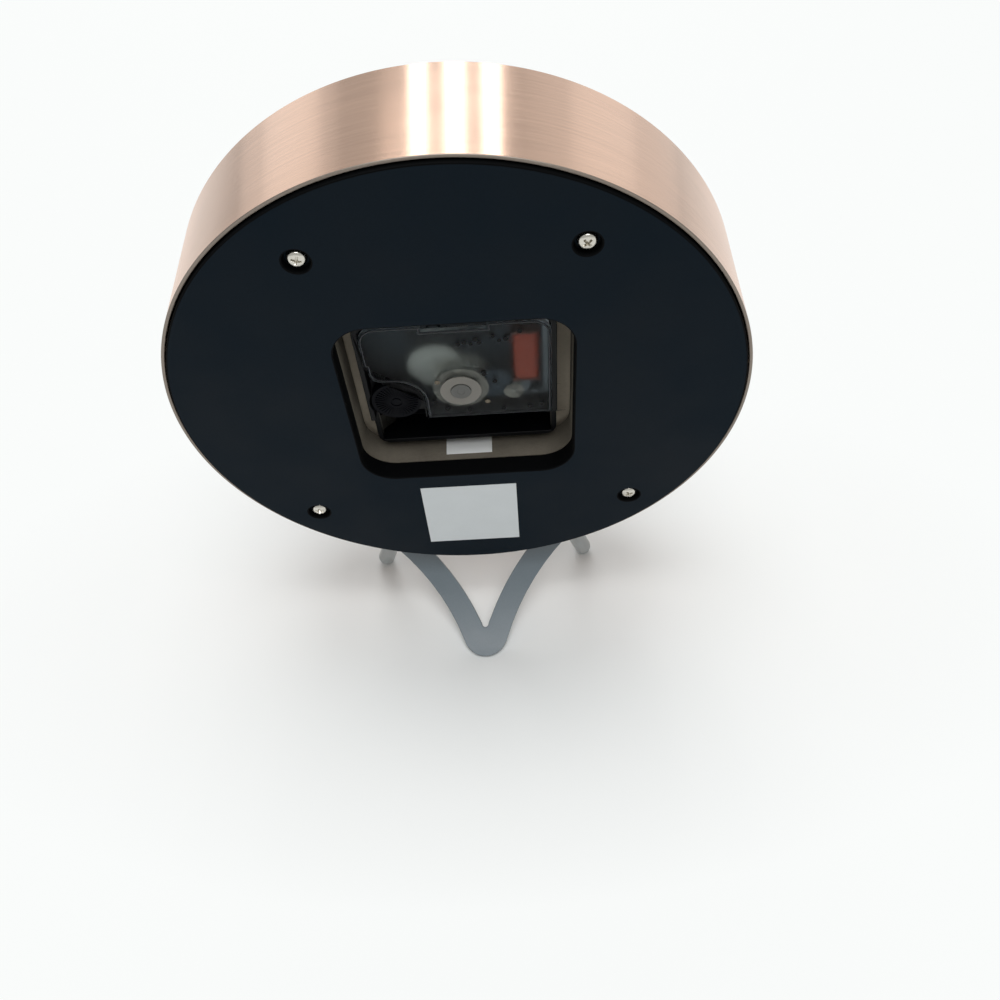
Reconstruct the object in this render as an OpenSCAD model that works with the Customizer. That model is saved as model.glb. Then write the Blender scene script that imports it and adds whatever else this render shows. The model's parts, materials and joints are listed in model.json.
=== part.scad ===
// Round table clock: a metal drum case that leans back on two peg legs and one wishbone leg,
// with a framed opening in its back for a battery movement.
// Millimetres, +Z up, dial towards -Y. Depths run from the case's back rim (0) towards the dial.
// Places on the movement are [across, up] from the clock's axis, seen from the dial side.

/* [Case] */
// Outside diameter of the drum
case_d = 165; // [158:1:172]
// Depth of the drum from front lip to back rim
case_depth = 36.5; // [36:0.5:40]
// Thickness of the drum's sheet metal
band_wall = 1; // [0.8:0.1:1.3]
// Width of the turned-in lip that holds the glass
lip_w = 3.5; // [3:0.5:5]
// Thickness of that lip
lip_t = 1; // [0.8:0.1:1.2]
// Backward lean of the whole case, in degrees
lean = 8.1; // [6:0.1:10]
// Clear height under the drum at its back rim
case_lift = 29.92; // [28:0.01:32]

/* [Front] */
// Thickness of the soft ring between lip and glass
gasket_t = 0.5; // [0.3:0.1:0.7]
// Width of that ring
gasket_w = 2.5; // [2:0.5:3]
// Thickness of the glass
lens_t = 2; // [1.8:0.1:2.3]
// Slope of the ring around the dial, as its run inward
rehaut_run = 2.5; // [1.5:0.5:4]
// Thickness of the dial sheet
dial_t = 0.5; // [0.4:0.1:0.8]
// Length of an hour baton
baton_l = 11; // [8:1:14]
// Width of an hour baton
baton_w = 2.2; // [1.6:0.2:3]
// Height of an hour baton over the dial
baton_h = 0.6; // [0.4:0.1:0.8]
// Gap between a baton's outer end and the ring around the dial
baton_gap = 5.5; // [4:0.5:7]

/* [Boards] */
// Thickness of the dark back panel
panel_t = 6.2; // [5.8:0.1:6.6]
// How far the back panel stands out of the rim
panel_proud = 1; // [0.6:0.1:1.2]
// Thickness of the raw board behind the panel
board_t = 9.6; // [9.2:0.1:10]
// Thickness of the washers between the two inner boards
spacer_t = 2.2; // [1.8:0.1:2.6]
// Thickness of the board that carries dial and movement
core_t = 7; // [6.6:0.1:7.8]
// Radial gap between the boards and the drum
board_gap = 0.4; // [0.3:0.1:0.6]
// Width and height of the opening in the back
opening_w = 65; // [63:0.5:68]
// Corner radius of that opening
opening_r = 10; // [8:0.5:12]

/* [Back screws] */
// Half the spacing of the two upper screws
screw_top_x = 35; // [30:1:38]
// Distance of the two upper screws from the panel's edge
screw_top_edge = 14.9; // [13:0.1:18]
// Half the spacing of the two lower screws
screw_low_x = 51; // [48:1:53]
// Distance of the two lower screws from the panel's edge
screw_low_edge = 10.5; // [8:0.1:12]
// Diameter of a screw's head
screw_head_d = 5.2; // [4.8:0.1:5.6]
// Height of a screw's head
screw_head_h = 1.8; // [1.5:0.1:2]
// Diameter of a screw's shank
screw_d = 3; // [2.6:0.1:3.4]
// Length of a screw in the core board
screw_bite = 5; // [4:0.5:6]
// Diameter of the sunk seat around a head
sink_d = 7; // [6.4:0.1:8]
// Depth of that seat
sink_depth = 2; // [1.8:0.1:2.6]
// Outside diameter of a spacer washer
spacer_d = 10; // [9:0.5:12]

/* [Legs] */
// Diameter of a peg leg
peg_d = 6.2; // [5.4:0.1:7]
// Angle of a peg leg from straight down, in degrees
peg_angle = 19; // [16:0.5:22]
// Diameter of the stud on a peg leg
stud_d = 3.9; // [3.4:0.1:4.2]
// Length of the threaded insert in the core board
insert_l = 12; // [10:1:14]
// Outside diameter of that insert
insert_d = 5.4; // [5.2:0.1:5.8]
// Thickness of the wishbone leg's sheet
leg_t = 1.8; // [1.4:0.1:2.2]
// Distance of the wishbone's tip behind the back rim
leg_reach = 26.7; // [24:0.1:30]
// Radius of the wishbone sheet's bend, seen from the side
leg_bend_r = 52; // [48:1:60]
// Slope of the sheet at its tip, in degrees
leg_tip_slope = 20; // [16:1:24]
// Slope of the plane that the wishbone's outline is cut in, in degrees
leg_plane = 44; // [42:1:46]
// Width of a wishbone arm, and radius of its tip
leg_arm_w = 8.2; // [7.4:0.1:9]
// Radius of an arm's hollow outer edge
leg_edge_r = 100; // [90:1:110]
// Angle at which that edge leaves the tip, in degrees
leg_flare = 20.5; // [18:0.5:23]
// Width of the pad that fits against the drum
leg_pad_w = 14; // [12:0.5:16]

/* [Paper] */
// Thickness of the paper
paper_t = 0.15; // [0.1:0.05:0.3]
// Width of the label on the back panel
label_w = 30.7; // [26:0.1:34]
// Height of that label
label_h = 31.5; // [28:0.1:34]
// Place of that label's middle, across
label_x = 1; // [-3:0.5:3]
// Rise of that label over the middle between the opening and the panel's edge
label_rise = 2.3; // [1:0.1:3]
// Width of the tag on the floor of the opening
tag_w = 14.6; // [12:0.2:18]
// Depth of that tag
tag_l = 6.6; // [5:0.2:7]

/* [Movement] */
// Width and height of the movement
mov_w = 56; // [55:0.5:57]
// Depth of the movement
mov_t = 15.5; // [15.2:0.1:16]
// Corner radius of the movement
mov_r = 4; // [3:0.5:5]
// Thickness of the movement's side walls
mov_wall = 1.5; // [1.2:0.1:1.7]
// Thickness of the clear cover
cover_t = 1.2; // [1:0.1:1.4]
// Height of the battery bay
bay_h = 14.8; // [14.6:0.1:15.2]
// Drop of the battery bay's walls from the back of the movement
bay_drop = 4.6; // [4:0.1:5.2]
// Place of the setting knob's axis, across
knob_x = 19.3; // [18.9:0.1:19.7]
// Place of the setting knob's axis, up
knob_z = -3.7; // [-4:0.1:-3.4]
// Diameter of the setting knob
knob_d = 14.6; // [13.6:0.2:15.4]
// Thickness of the setting knob
knob_t = 2.7; // [2.3:0.1:2.8]
// Number of grip ribs on the knob
knob_ribs = 36; // [24:1:40]
// Place of the motor rotor's axis, across
rotor_x = -15.4; // [-15.7:0.1:-15.1]
// Place of the motor rotor's axis, up
rotor_z = -2.6; // [-2.9:0.1:-2.3]
// Place of the third wheel's axis, across
third_x = 6.8; // [6.5:0.1:7.1]
// Place of the third wheel's axis, up
third_z = 6; // [5.7:0.1:6.3]
// Thickness of a wheel
wheel_t = 0.8; // [0.6:0.1:0.9]
// Width of the coil's winding
coil_w = 7.4; // [6.8:0.2:7.8]
// Length of the coil's winding
coil_l = 18; // [16:0.5:19]

/* [Hands] */
// Length of the hour hand
hour_l = 42; // [36:1:48]
// Length of the minute hand
minute_l = 62; // [56:1:66]
// Length of the second hand
second_l = 64; // [58:1:68]
// Width of the hour hand at its root
hour_w = 5; // [4:0.2:6]
// Width of the minute hand at its root
minute_w = 4; // [3:0.2:5]
// Width of the second hand at its root
second_w = 1.4; // [1:0.1:1.8]
// Thickness of a hand
hand_t = 0.6; // [0.4:0.1:0.7]
// Diameter of the seconds arbor
second_d = 1.2; // [1:0.1:1.4]
// Outside diameter of the minute arbor
minute_d = 3.5; // [3.3:0.1:3.8]
// Outside diameter of the hour pipe
hour_d = 5.1; // [5:0.1:5.4]
// Outside diameter of the fixing bush
bush_d = 8; // [7.6:0.1:8.4]
// Thickness of the fixing nut
nut_t = 2; // [1.8:0.1:2.2]

/* [Hidden] */
$fn = 96;

// Fits
run_gap = 0.05;       // radial clearance of a turning fit
seat_gap = 0.05;      // paint and glue between seated faces
free_gap = 0.3;       // clearance of a hole that a piece passes through
step_gap = 0.4;       // end play between parts on one axis
far = 400;            // reach of a cutting block
over = 1;             // reach of a cut past the face that it opens

// Radii and depths of the case stack
band_r = case_d / 2;
band_in = band_r - band_wall;
disc_r = band_in - board_gap;
axis_h = case_lift + band_r * cos(lean);
lip_in = band_in - lip_w;
baton_reach = lip_in - rehaut_run - baton_gap;
panel_back = -panel_proud;
board_back = panel_back + panel_t;
board_front = board_back + board_t;
core_back = board_front + spacer_t;
dial_back = core_back + core_t;
dial_face = dial_back + dial_t;
lip_back = case_depth - lip_t;
lens_face = lip_back - gasket_t;
lens_back = lens_face - lens_t;
screw_top_z = sqrt(pow(disc_r - screw_top_edge, 2) - pow(screw_top_x, 2));
screw_low_z = sqrt(pow(disc_r - screw_low_edge, 2) - pow(screw_low_x, 2));
screws_at = [[screw_top_x, screw_top_z], [-screw_top_x, screw_top_z],
             [screw_low_x, -screw_low_z], [-screw_low_x, -screw_low_z]];
screw_seat = panel_back + sink_depth;
bore_over = 0.5;      // depth of a screw's bore past its end
cross_w = 0.8;
cross_l = 3.1;
cross_depth = 1.1;
cross_turn = 35;
label_z = (opening_w / 2 + disc_r) / 2 - label_rise;
tag_in = 2.1;         // distance of the tag from the panel
tag_from = board_back + tag_in;

// Place of the leaning case over the table: the footprint's middle is the origin
tip_up = -(axis_h - leg_reach * sin(lean)) / cos(lean);
tip_y = leg_reach * cos(lean) + tip_up * sin(lean);
case_front_y = -case_depth * cos(lean) - band_r * sin(lean);
case_back_y = max(band_r * sin(lean), panel_proud * cos(lean) + disc_r * sin(lean));
tip_over = leg_t * sin(leg_plane) / cos(leg_plane - leg_tip_slope);
shift_y = -(case_front_y + max(tip_y + tip_over, case_back_y)) / 2;

// Legs
peg_r = peg_d / 2;
peg_depth = core_back + core_t / 2;
pad_r = band_r + seat_gap;
foot_cut = 0.25;      // flat that is worn on each foot
peg_end = (axis_h + peg_depth * sin(lean) - peg_r + foot_cut) / (cos(peg_angle) * cos(lean));
insert_sink = 0.5;    // depth of an insert's end under the board's edge
stud_short = 1;       // gap between a stud's end and its insert's end
stud_tip = disc_r - insert_l + stud_short;
leg_foot_y = tip_y + shift_y;
leg_out_r = leg_bend_r + leg_t;
leg_mid_y = leg_foot_y + leg_out_r * sin(leg_tip_slope);
leg_mid_z = leg_out_r * cos(leg_tip_slope) - foot_cut;
leg_inner_r = leg_edge_r + leg_arm_w;
edge_mid = [leg_inner_r * cos(leg_flare), leg_arm_w - leg_inner_r * sin(leg_flare)];
leg_root_r = 1.1;     // round at the bottom of the wishbone's fork
fork_up = edge_mid[1] + sqrt(pow(leg_inner_r, 2) - pow(edge_mid[0] - leg_root_r, 2));
arm_sweep = 32;       // stretch of an arm's arc, past where it meets the drum
pad_over = 10;        // reach of the pads' cutting shapes past the drum
arm_reach = 60;       // thickness of the block that the curved sheet is cut from

// Movement: places of its axes, and depths of its plates and layers
knob_at = [knob_x, knob_z];
rotor_at = [rotor_x, rotor_z];
third_at = [third_x, third_z];
mov_back = board_back;
mov_front = mov_back + mov_t;
mov_in = mov_w / 2 - mov_wall;
front_wall = 1.8;
cavity_front = mov_front - front_wall;
cover_in = mov_back + cover_t;
layer_pitch = 1.6;
layer_gap = 0.6;      // gap between a plate and the wheel next to it
layer = [for (i = [0:3]) cover_in + layer_gap + i * layer_pitch];
bridge_gap = 0.8;
bridge_back = layer[3] + wheel_t + bridge_gap;
bridge_t = 1;
bridge_front = bridge_back + bridge_t;
work_layer = bridge_front + layer_gap;
hour_layer = work_layer + layer_pitch;
gear_over = 0.2;      // a pinion's extra length past its wheel
cannon_back = work_layer - gear_over;
cannon_front = work_layer + wheel_t + gear_over;
work_front = hour_layer + wheel_t + gear_over;
ledge = 1;
washer_t = 0.8;
washer_w = 5;
washer_r = bush_d / 2 + washer_w;
pocket_floor = mov_front + washer_t;
pocket_gap = 0.6;
divider = 1.5;
bay_edge = 0.2;
bay_low = -mov_in + bay_edge;
bay_top = bay_low + bay_h;
cavity_low = bay_top + divider;
bay_wall = 0.8;
bay_front = mov_front - bay_wall;
bay_back = mov_back + bay_drop;
well_wall = 0.5;
well_gap = 0.6;       // gap around the knob in its well
well_r = knob_d / 2 + well_gap;
well_floor_t = 1;
well_floor = layer[2] - step_gap - well_floor_t;
well_top = knob_at[1] + well_r;
shoulder_low = 2.9;   // place of the well's slanting shoulder right of the knob's axis
shoulder_high = 5.9;
shoulder_up = 6.3;    // height of that shoulder
shoulder_rise = 0.5;  // rise of its upper edge towards the movement's side
slot_w = 18;          // notch for the hanger at the top of the cover
slot_h = 2;
join = 0.1;           // overlap of two shapes that are one piece

// Battery contacts
contact_t = 0.3;
contact_edge = 2;
contact_z = bay_low + contact_edge;
contact_h = bay_h - 2 * contact_edge;
contact_in = 0.5;
contact_out = 1.5;
contact_from = bay_back + contact_in;
contact_to = bay_front - contact_out;
contact_mid = (contact_from + contact_to) / 2;
leaf_reach = 4;
leaf_end = 1;
leaf_inset = 2;
button_r = 2.6;
button_h = 0.5;

// Hands and fixing stack on the dial
nut_washer_t = 0.5;
nut_washer_w = 4;
nut_washer_r = bush_d / 2 + nut_washer_w;
nut_w = 2.4;
nut_r = bush_d / 2 + nut_w;
nut_back = dial_face + nut_washer_t;
bush_over = 0.6;      // bush that stands out of the nut
bush_front = nut_back + nut_t + bush_over;
hand_gap = 0.6;       // gap between two hands
pipe_over = 0.2;      // shaft that stands out of its hand
hour_hand_at = bush_front + step_gap;
hour_front = hour_hand_at + hand_t + pipe_over;
minute_hand_at = hour_front + hand_gap;
minute_front = minute_hand_at + hand_t + pipe_over;
second_hand_at = minute_front + hand_gap;
second_front = second_hand_at + hand_t + pipe_over;
bush_bore_r = hour_d / 2 + run_gap;
hand_fit = 0.02;
hand_boss = 2;        // width of a hand's ring around its shaft
hand_taper = 0.6;     // width at a hand's tip as a share of its root
hour_tail = 10;
minute_tail = 12;
second_tail = 18;

// Wheel train: axes, teeth and sizes
rotor_far = norm(rotor_at);
inter_far = 0.6 * rotor_far;
inter_near = 0.435 * rotor_far;
inter_along = (rotor_far * rotor_far + inter_far * inter_far - inter_near * inter_near) / (2 * rotor_far);
inter_side = sqrt(inter_far * inter_far - inter_along * inter_along);
rotor_dir = rotor_at / rotor_far;
inter_at = rotor_dir * inter_along + [rotor_dir[1], -rotor_dir[0]] * inter_side;
third_far = norm(third_at);
knob_far = norm(knob_at);
work_far = 0.52 * knob_far;
knob_dir = knob_at / knob_far;
work_at = knob_dir * knob_far / 2
    + [-knob_dir[1], knob_dir[0]] * sqrt(work_far * work_far - knob_far * knob_far / 4);
small_teeth = 8;
inter_teeth = 48;
second_teeth = 40;
third_teeth = 60;
centre_teeth = 64;
cannon_teeth = 12;
work_teeth = 36;
work_small_teeth = 10;
hour_teeth = 40;
rotor_mod = 2 * inter_near / (small_teeth + inter_teeth);
second_mod = 2 * inter_far / (small_teeth + second_teeth);
third_mod = 2 * third_far / (small_teeth + third_teeth);
centre_mod = 2 * third_far / (small_teeth + centre_teeth);
cannon_mod = 2 * work_far / (cannon_teeth + work_teeth);
hour_mod = 2 * work_far / (work_small_teeth + hour_teeth);
arbor_r = 0.5;
pivot_r = 0.3;
collar = 0.4;         // step of a shoulder on an arbor
pivot_l = 0.5;
pivot_seat = 1.2;     // depth of a pivot hole in the dial-side wall
knob_pivot_r = 0.8;
knob_sink = 0.5;      // depth of the knob's face under the movement's back
knob_back = mov_back + knob_sink;
knob_hub_r = 1.3;
rib_h = 0.3;
rib_w = 0.35;
rib_gap = 0.5;
rib_from = knob_hub_r + rib_gap;
knob_rim = 1;         // smooth edge outside the ribs
rib_to = knob_d / 2 - knob_rim;
stem_r = 1.6;
boss_r = 1.4;
boss_h = 0.3;
cover_ring_r = 6;
cover_ring_h = 0.3;
cover_hub_r = 2.9;
bush_flange_t = 0.6;
bush_flange_w = 1.2;
bush_flange_r = bush_d / 2 + bush_flange_w;

// Motor and circuit board
rotor_r = 2.5;
magnet_over = 1;
stator_t = 1;
stator_back = layer[1] + wheel_t + gear_over;
stator_r = 4.8;
coil_side = 3.5;      // distance of the winding from the movement's wall
coil_x = coil_w / 2 + coil_side - mov_in;
coil_depth = stator_back + stator_t / 2;
coil_t = 6;
coil_r = 2;
core_over = 0.4;      // core that stands out of the bobbin
core_low = rotor_at[1] + rotor_r + step_gap + core_over;
flange_t = 0.8;
flange_over = 0.3;
flange_w = coil_w + 2 * flange_over;
flange_h = 2 * (bridge_back - coil_depth);
coil_z = core_low + core_over + flange_t;
core_high = coil_z + coil_l + flange_t + core_over;
core_w = 2.2;
tube_w = 3.6;
post_r = 1.2;
stator_foot = rotor_z - stator_r;
stator_leg_w = 1.8;
stator_side = 1.2;    // gap between the winding and the stator's leg
stator_leg_x = coil_x - coil_w / 2 - stator_side - stator_leg_w;
stator_bar_h = 1.8;
stator_post_r = 0.8;
stator_posts = [[stator_leg_x + stator_leg_w / 2, stator_foot + stator_bar_h / 2],
                [stator_leg_x + stator_leg_w / 2, core_high + stator_bar_h / 2]];
pcb_t = 0.8;
pcb_back = layer[2] + wheel_t;
pcb_x = -11;
pcb_w = 25;
pcb_gap = 1.4;        // gap between the board and the third wheel
pcb_z = third_at[1] + third_teeth * third_mod / 2 + pcb_gap;
pcb_top = 0.8;
pcb_h = mov_in - pcb_top - pcb_z;
post_in = 3;
board_posts = [[pcb_x + post_in, pcb_z + pcb_h / 2],
               [pcb_x + pcb_w - post_in, pcb_z + pcb_h / 2]];
crystal_r = 1;
crystal_l = 6;
crystal_in = [3, 2];
crystal_at = [pcb_x + crystal_in[0], pcb_z + pcb_h - crystal_in[1]];
chip_in = [17, 4];
chip_at = [pcb_x, pcb_z] + chip_in;
chip_r = 2.2;
chip_h = 0.7;

// Time shown by the hands
shown = [10, 9, 35];
second_angle = shown[2] * 6;
minute_angle = shown[1] * 6 + second_angle / 60;
hour_angle = shown[0] * 30 + minute_angle / 12;

// Angle of the line from one axis to another, and the turn that puts a wheel in mesh with its mate
function bearing(from, to) = atan2(to[1] - from[1], to[0] - from[0]);
function mesh_turn(dir, mate_turn, mate_teeth, teeth) =
    dir + 180 + 180 / teeth - (mate_turn - dir) * mate_teeth / teeth;
work_turn = mesh_turn(bearing([0, 0], work_at), 0, cannon_teeth, work_teeth);
knob_turn = mesh_turn(bearing(work_at, knob_at), work_turn, work_teeth, cannon_teeth);

// Wheel outline with straight-sided teeth, thinned so that each mesh has play
tooth_play = 0.24;
function tooth_half(r, pitch_r, teeth) =
    (90 / teeth * (1 - tooth_play)) * pitch_r / r - atan((r - pitch_r) * tan(20) / r);
function gear_outline(teeth, mod) = let (p = teeth * mod / 2, tip = p + 0.8 * mod, root = p - 1.1 * mod)
    [for (i = [0:teeth - 1], e = [[root, -1], [tip, -1], [tip, 1], [root, 1]])
        let (a = 360 * i / teeth + e[1] * tooth_half(e[0], p, teeth)) e[0] * [cos(a), sin(a)]];

// Frame helpers
module place_clock() {
    translate([0, shift_y, axis_h]) rotate([-lean, 0, 0]) children();
}

// Extrudes an outline drawn as seen from the dial, from one depth to another
module slab(from, to) {
    translate([0, -from, 0]) rotate([90, 0, 0]) linear_extrude(to - from) children();
}

module rod(at, from, to, r) {
    translate([at[0], -from, at[1]]) rotate([90, 0, 0]) cylinder(r = r, h = to - from);
}

// Points along a radius of the drum, at an angle from straight down and at a depth
module radial(angle, depth) {
    translate([0, -depth, 0]) rotate([0, -angle, 0]) rotate([180, 0, 0]) children();
}

module round_square(w, h, r) {
    square([w - 2 * r, h], center = true);
    square([w, h - 2 * r], center = true);
    for (x = [-1, 1], y = [-1, 1]) translate([x * (w / 2 - r), y * (h / 2 - r)]) circle(r = r);
}

module gear(at, from, to, teeth, mod, turn) {
    translate([at[0], -from, at[1]]) rotate([90, 0, 0]) rotate([0, 0, turn])
        linear_extrude(to - from) polygon(gear_outline(teeth, mod));
}

// Drum and front
module case_band() {
    color("#C9A08A") place_clock() difference() {
        rod([0, 0], 0, case_depth, band_r);
        rod([0, 0], -over, lip_back, band_in);
        rod([0, 0], lip_back - over, case_depth + over, lip_in);
        for (side = [-1, 1]) radial(side * peg_angle, peg_depth)
            translate([0, 0, band_in - 2 * over]) cylinder(d = stud_d + free_gap, h = band_wall + 4 * over);
    }
}

module lens() {
    color("#DDE6E8", 0.35) place_clock() rod([0, 0], lens_back, lens_face, disc_r);
}

module lens_gasket() {
    color("#1C1C1C") place_clock() difference() {
        rod([0, 0], lens_face, lip_back, disc_r);
        rod([0, 0], lens_face - over, lip_back + over, disc_r - gasket_w);
    }
}

module rehaut_ring() {
    color("#D8D6D2") place_clock() translate([0, -dial_face, 0]) rotate([90, 0, 0]) rotate_extrude()
        polygon([[lip_in - rehaut_run, 0], [disc_r, 0], [disc_r, lens_back - dial_face],
                 [lip_in, lens_back - dial_face]]);
}

module dial_plate() {
    color("#ECEAE6") place_clock() difference() {
        rod([0, 0], dial_back, dial_face, disc_r);
        rod([0, 0], dial_back - over, dial_face + over, bush_d / 2 + free_gap);
    }
}

module hour_markers() {
    color("#C08F78") place_clock() for (i = [0:11]) rotate([0, i * 30, 0])
        translate([-baton_w / 2, -dial_face - baton_h, baton_reach - baton_l])
            cube([baton_w, baton_h, baton_l]);
}

// Boards
module screw_holes(from, to, d) {
    for (p = screws_at) rod(p, from - over, to + over, d / 2);
}

module dial_board() {
    color("#8C8372") place_clock() difference() {
        rod([0, 0], core_back, dial_back, disc_r);
        slab(core_back - over, pocket_floor)
            round_square(mov_w + 2 * pocket_gap, mov_w + 2 * pocket_gap, mov_r + pocket_gap);
        rod([0, 0], core_back - over, dial_back + over, bush_d / 2 + free_gap);
        for (p = screws_at)
            rod(p, core_back - over, core_back + screw_bite + bore_over, screw_d / 2 + seat_gap);
        for (side = [-1, 1]) radial(side * peg_angle, peg_depth)
            translate([0, 0, disc_r - insert_l]) cylinder(d = insert_d + 2 * seat_gap, h = insert_l + over);
    }
}

module board_spacers() {
    color("#33302C") place_clock() difference() {
        for (p = screws_at) rod(p, board_front, core_back, spacer_d / 2);
        screw_holes(board_front, core_back, screw_d + free_gap);
    }
}

module mounting_board() {
    color("#8C8372") place_clock() difference() {
        rod([0, 0], board_back, board_front, disc_r);
        slab(board_back - over, board_front + over) round_square(opening_w, opening_w, opening_r);
        screw_holes(board_back, board_front, screw_d + free_gap);
    }
}

module back_panel() {
    color("#12181E") place_clock() difference() {
        rod([0, 0], panel_back, board_back, disc_r);
        slab(panel_back - over, board_back + over) round_square(opening_w, opening_w, opening_r);
        screw_holes(panel_back, board_back, screw_d + free_gap);
        for (p = screws_at) rod(p, panel_back - over, screw_seat, sink_d / 2);
    }
}

// Pan-head screws with a cross slot
module back_screws() {
    color("#C9CBCC") place_clock() for (p = screws_at) difference() {
        union() {
            rod(p, screw_seat - screw_head_h, screw_seat, screw_head_d / 2);
            rod(p, screw_seat - join, core_back + screw_bite, screw_d / 2);
        }
        for (a = [0, 90]) translate([p[0], -screw_seat + screw_head_h, p[1]]) rotate([0, a + cross_turn, 0])
            translate([-cross_l / 2, -cross_depth, -cross_w / 2])
                cube([cross_l, screw_head_h, cross_w]);
    }
}

// Blank paper label on the panel, and a paper tag on the floor of the opening
module back_label() {
    color("#F2F2F0") place_clock() slab(panel_back - paper_t, panel_back)
        translate([label_x, -label_z]) square([label_w, label_h], center = true);
}

module paper_tag() {
    color("#F4F5F4") place_clock() translate([-tag_w / 2, -tag_from - tag_l, -opening_w / 2])
        cube([tag_w, tag_l, paper_t]);
}

// Legs
module thread_inserts() {
    color("#B8973E") place_clock() for (side = [-1, 1]) radial(side * peg_angle, peg_depth)
        difference() {
            translate([0, 0, disc_r - insert_l]) cylinder(d = insert_d, h = insert_l - insert_sink);
            translate([0, 0, disc_r - insert_l - over])
                cylinder(d = stud_d + 2 * seat_gap, h = insert_l + 2 * over);
        }
}

module below_table() {
    translate([-far / 2, -far / 2, -far]) cube(far);
}

module front_leg(side) {
    color("#B9BDBE") difference() {
        place_clock() radial(side * peg_angle, peg_depth) {
            translate([0, 0, pad_r + leg_t]) cylinder(r = peg_r, h = peg_end - pad_r - leg_t);
            translate([0, 0, peg_end]) sphere(r = peg_r);
            translate([0, 0, stud_tip]) cylinder(d = stud_d, h = pad_r + leg_t + over - stud_tip);
        }
        below_table();
    }
}

module front_leg_left() {
    front_leg(-1);
}

module front_leg_right() {
    front_leg(1);
}

module leg_roll(r) {
    translate([-far / 2, leg_mid_y, leg_mid_z]) rotate([0, 90, 0]) cylinder(r = r, h = far);
}

// Wishbone outline, seen square to its plane: the round tip at the origin and an arm to each side
module wishbone_block() {
    translate([0, leg_arm_w, 0]) cylinder(r = leg_arm_w, h = arm_reach);
    for (side = [0, 1]) mirror([side, 0, 0]) translate([edge_mid[0], edge_mid[1], 0])
        rotate([0, 0, 180 - leg_flare - arm_sweep]) rotate_extrude(angle = arm_sweep)
            translate([leg_edge_r, 0]) square([leg_arm_w, arm_reach]);
}

module fork_space() {
    difference() {
        translate([-far / 4, fork_up, -over]) cube([far / 2, far / 4, arm_reach + 2 * over]);
        for (side = [-1, 1]) translate([side * edge_mid[0], edge_mid[1], -2 * over])
            cylinder(r = leg_inner_r, h = arm_reach + 4 * over);
    }
    translate([0, fork_up, -over]) cylinder(r = leg_root_r, h = arm_reach + 2 * over);
}

module wishbone_sheet() {
    difference() {
        intersection() {
            leg_roll(leg_out_r);
            translate([0, leg_foot_y, 0]) rotate([180 - leg_plane, 0, 0]) translate([0, 0, -arm_reach / 2])
                difference() {
                    wishbone_block();
                    fork_space();
                }
        }
        leg_roll(leg_bend_r);
        place_clock() {
            rod([0, 0], -far / 2, far / 2, pad_r);
            for (side = [-1, 1]) radial(side * peg_angle, peg_depth)
                translate([side > 0 ? leg_pad_w / 2 : -far / 4 - leg_pad_w / 2, -far / 4, 0])
                    cube([far / 4, far / 2, far / 2]);
        }
    }
}

// Pad at the end of each arm, rolled to the drum
module drum_pads() {
    difference() {
        place_clock() intersection() {
            difference() {
                rod([0, 0], 0, peg_depth + leg_pad_w / 2, pad_r + leg_t);
                rod([0, 0], -over, peg_depth + leg_pad_w / 2 + over, pad_r);
            }
            for (side = [-1, 1]) radial(side * peg_angle, peg_depth) {
                cylinder(d = leg_pad_w, h = band_r + pad_over);
                translate([-leg_pad_w / 2, -peg_depth, 0])
                    cube([leg_pad_w, peg_depth, band_r + pad_over]);
            }
        }
        leg_roll(leg_bend_r);
    }
}

module rear_leg() {
    color("#7E888C") difference() {
        union() {
            wishbone_sheet();
            drum_pads();
        }
        place_clock() for (side = [-1, 1]) radial(side * peg_angle, peg_depth)
            cylinder(d = stud_d + free_gap, h = band_r + pad_over);
        below_table();
    }
}

// Movement housing
module chamber(inset, low_inset) {
    low = cavity_low + low_inset;
    translate([0, (mov_in - inset + low) / 2])
        round_square(2 * (mov_in - inset), mov_in - inset - low, mov_r - mov_wall);
}

// Hollow for the knob, open to the battery bay
module knob_well(grow) {
    well_side = knob_x - well_r - grow;
    translate(knob_at) circle(r = well_r + grow);
    polygon([[well_side, bay_top], [mov_in, bay_top],
             [mov_in, well_top + shoulder_up + shoulder_rise + grow],
             [knob_x + shoulder_high - grow, well_top + shoulder_up + grow],
             [knob_x + shoulder_low - grow, well_top + grow], [knob_x, well_top + grow],
             [knob_x, knob_z], [well_side, knob_z]]);
}

module movement_base() {
    color("#16171A") place_clock() difference() {
        union() {
            difference() {
                slab(mov_back, mov_front) round_square(mov_w, mov_w, mov_r);
                slab(mov_back - over, cover_in) chamber(0, -divider);
                slab(mov_back - over, bridge_front) chamber(0, 0);
                slab(bridge_front - over, cavity_front) chamber(ledge, 0);
                slab(mov_back - over, bay_front) translate([-mov_in, bay_low]) square([2 * mov_in, bay_h]);
                slab(mov_back - over, bay_back) translate([-far / 2, bay_top - far]) square(far);
            }
            intersection() {
                slab(mov_back, well_floor + well_floor_t) knob_well(well_wall);
                slab(mov_back - over, mov_front) translate([-mov_in, bay_top + divider / 4])
                    square([2 * mov_in + mov_wall / 2, mov_w]);
            }
        }
        slab(mov_back - over, well_floor) knob_well(0);
        rod(knob_at, well_floor - over, well_floor + well_floor_t + over, stem_r + free_gap);
        rod(knob_at, cavity_front - over, cavity_front + pivot_seat, knob_pivot_r + run_gap);
        rod(work_at, cavity_front - over, cavity_front + pivot_seat, pivot_r + run_gap);
        rod([0, 0], cavity_front - over, mov_front + over, bush_d / 2 + seat_gap);
    }
}

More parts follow.
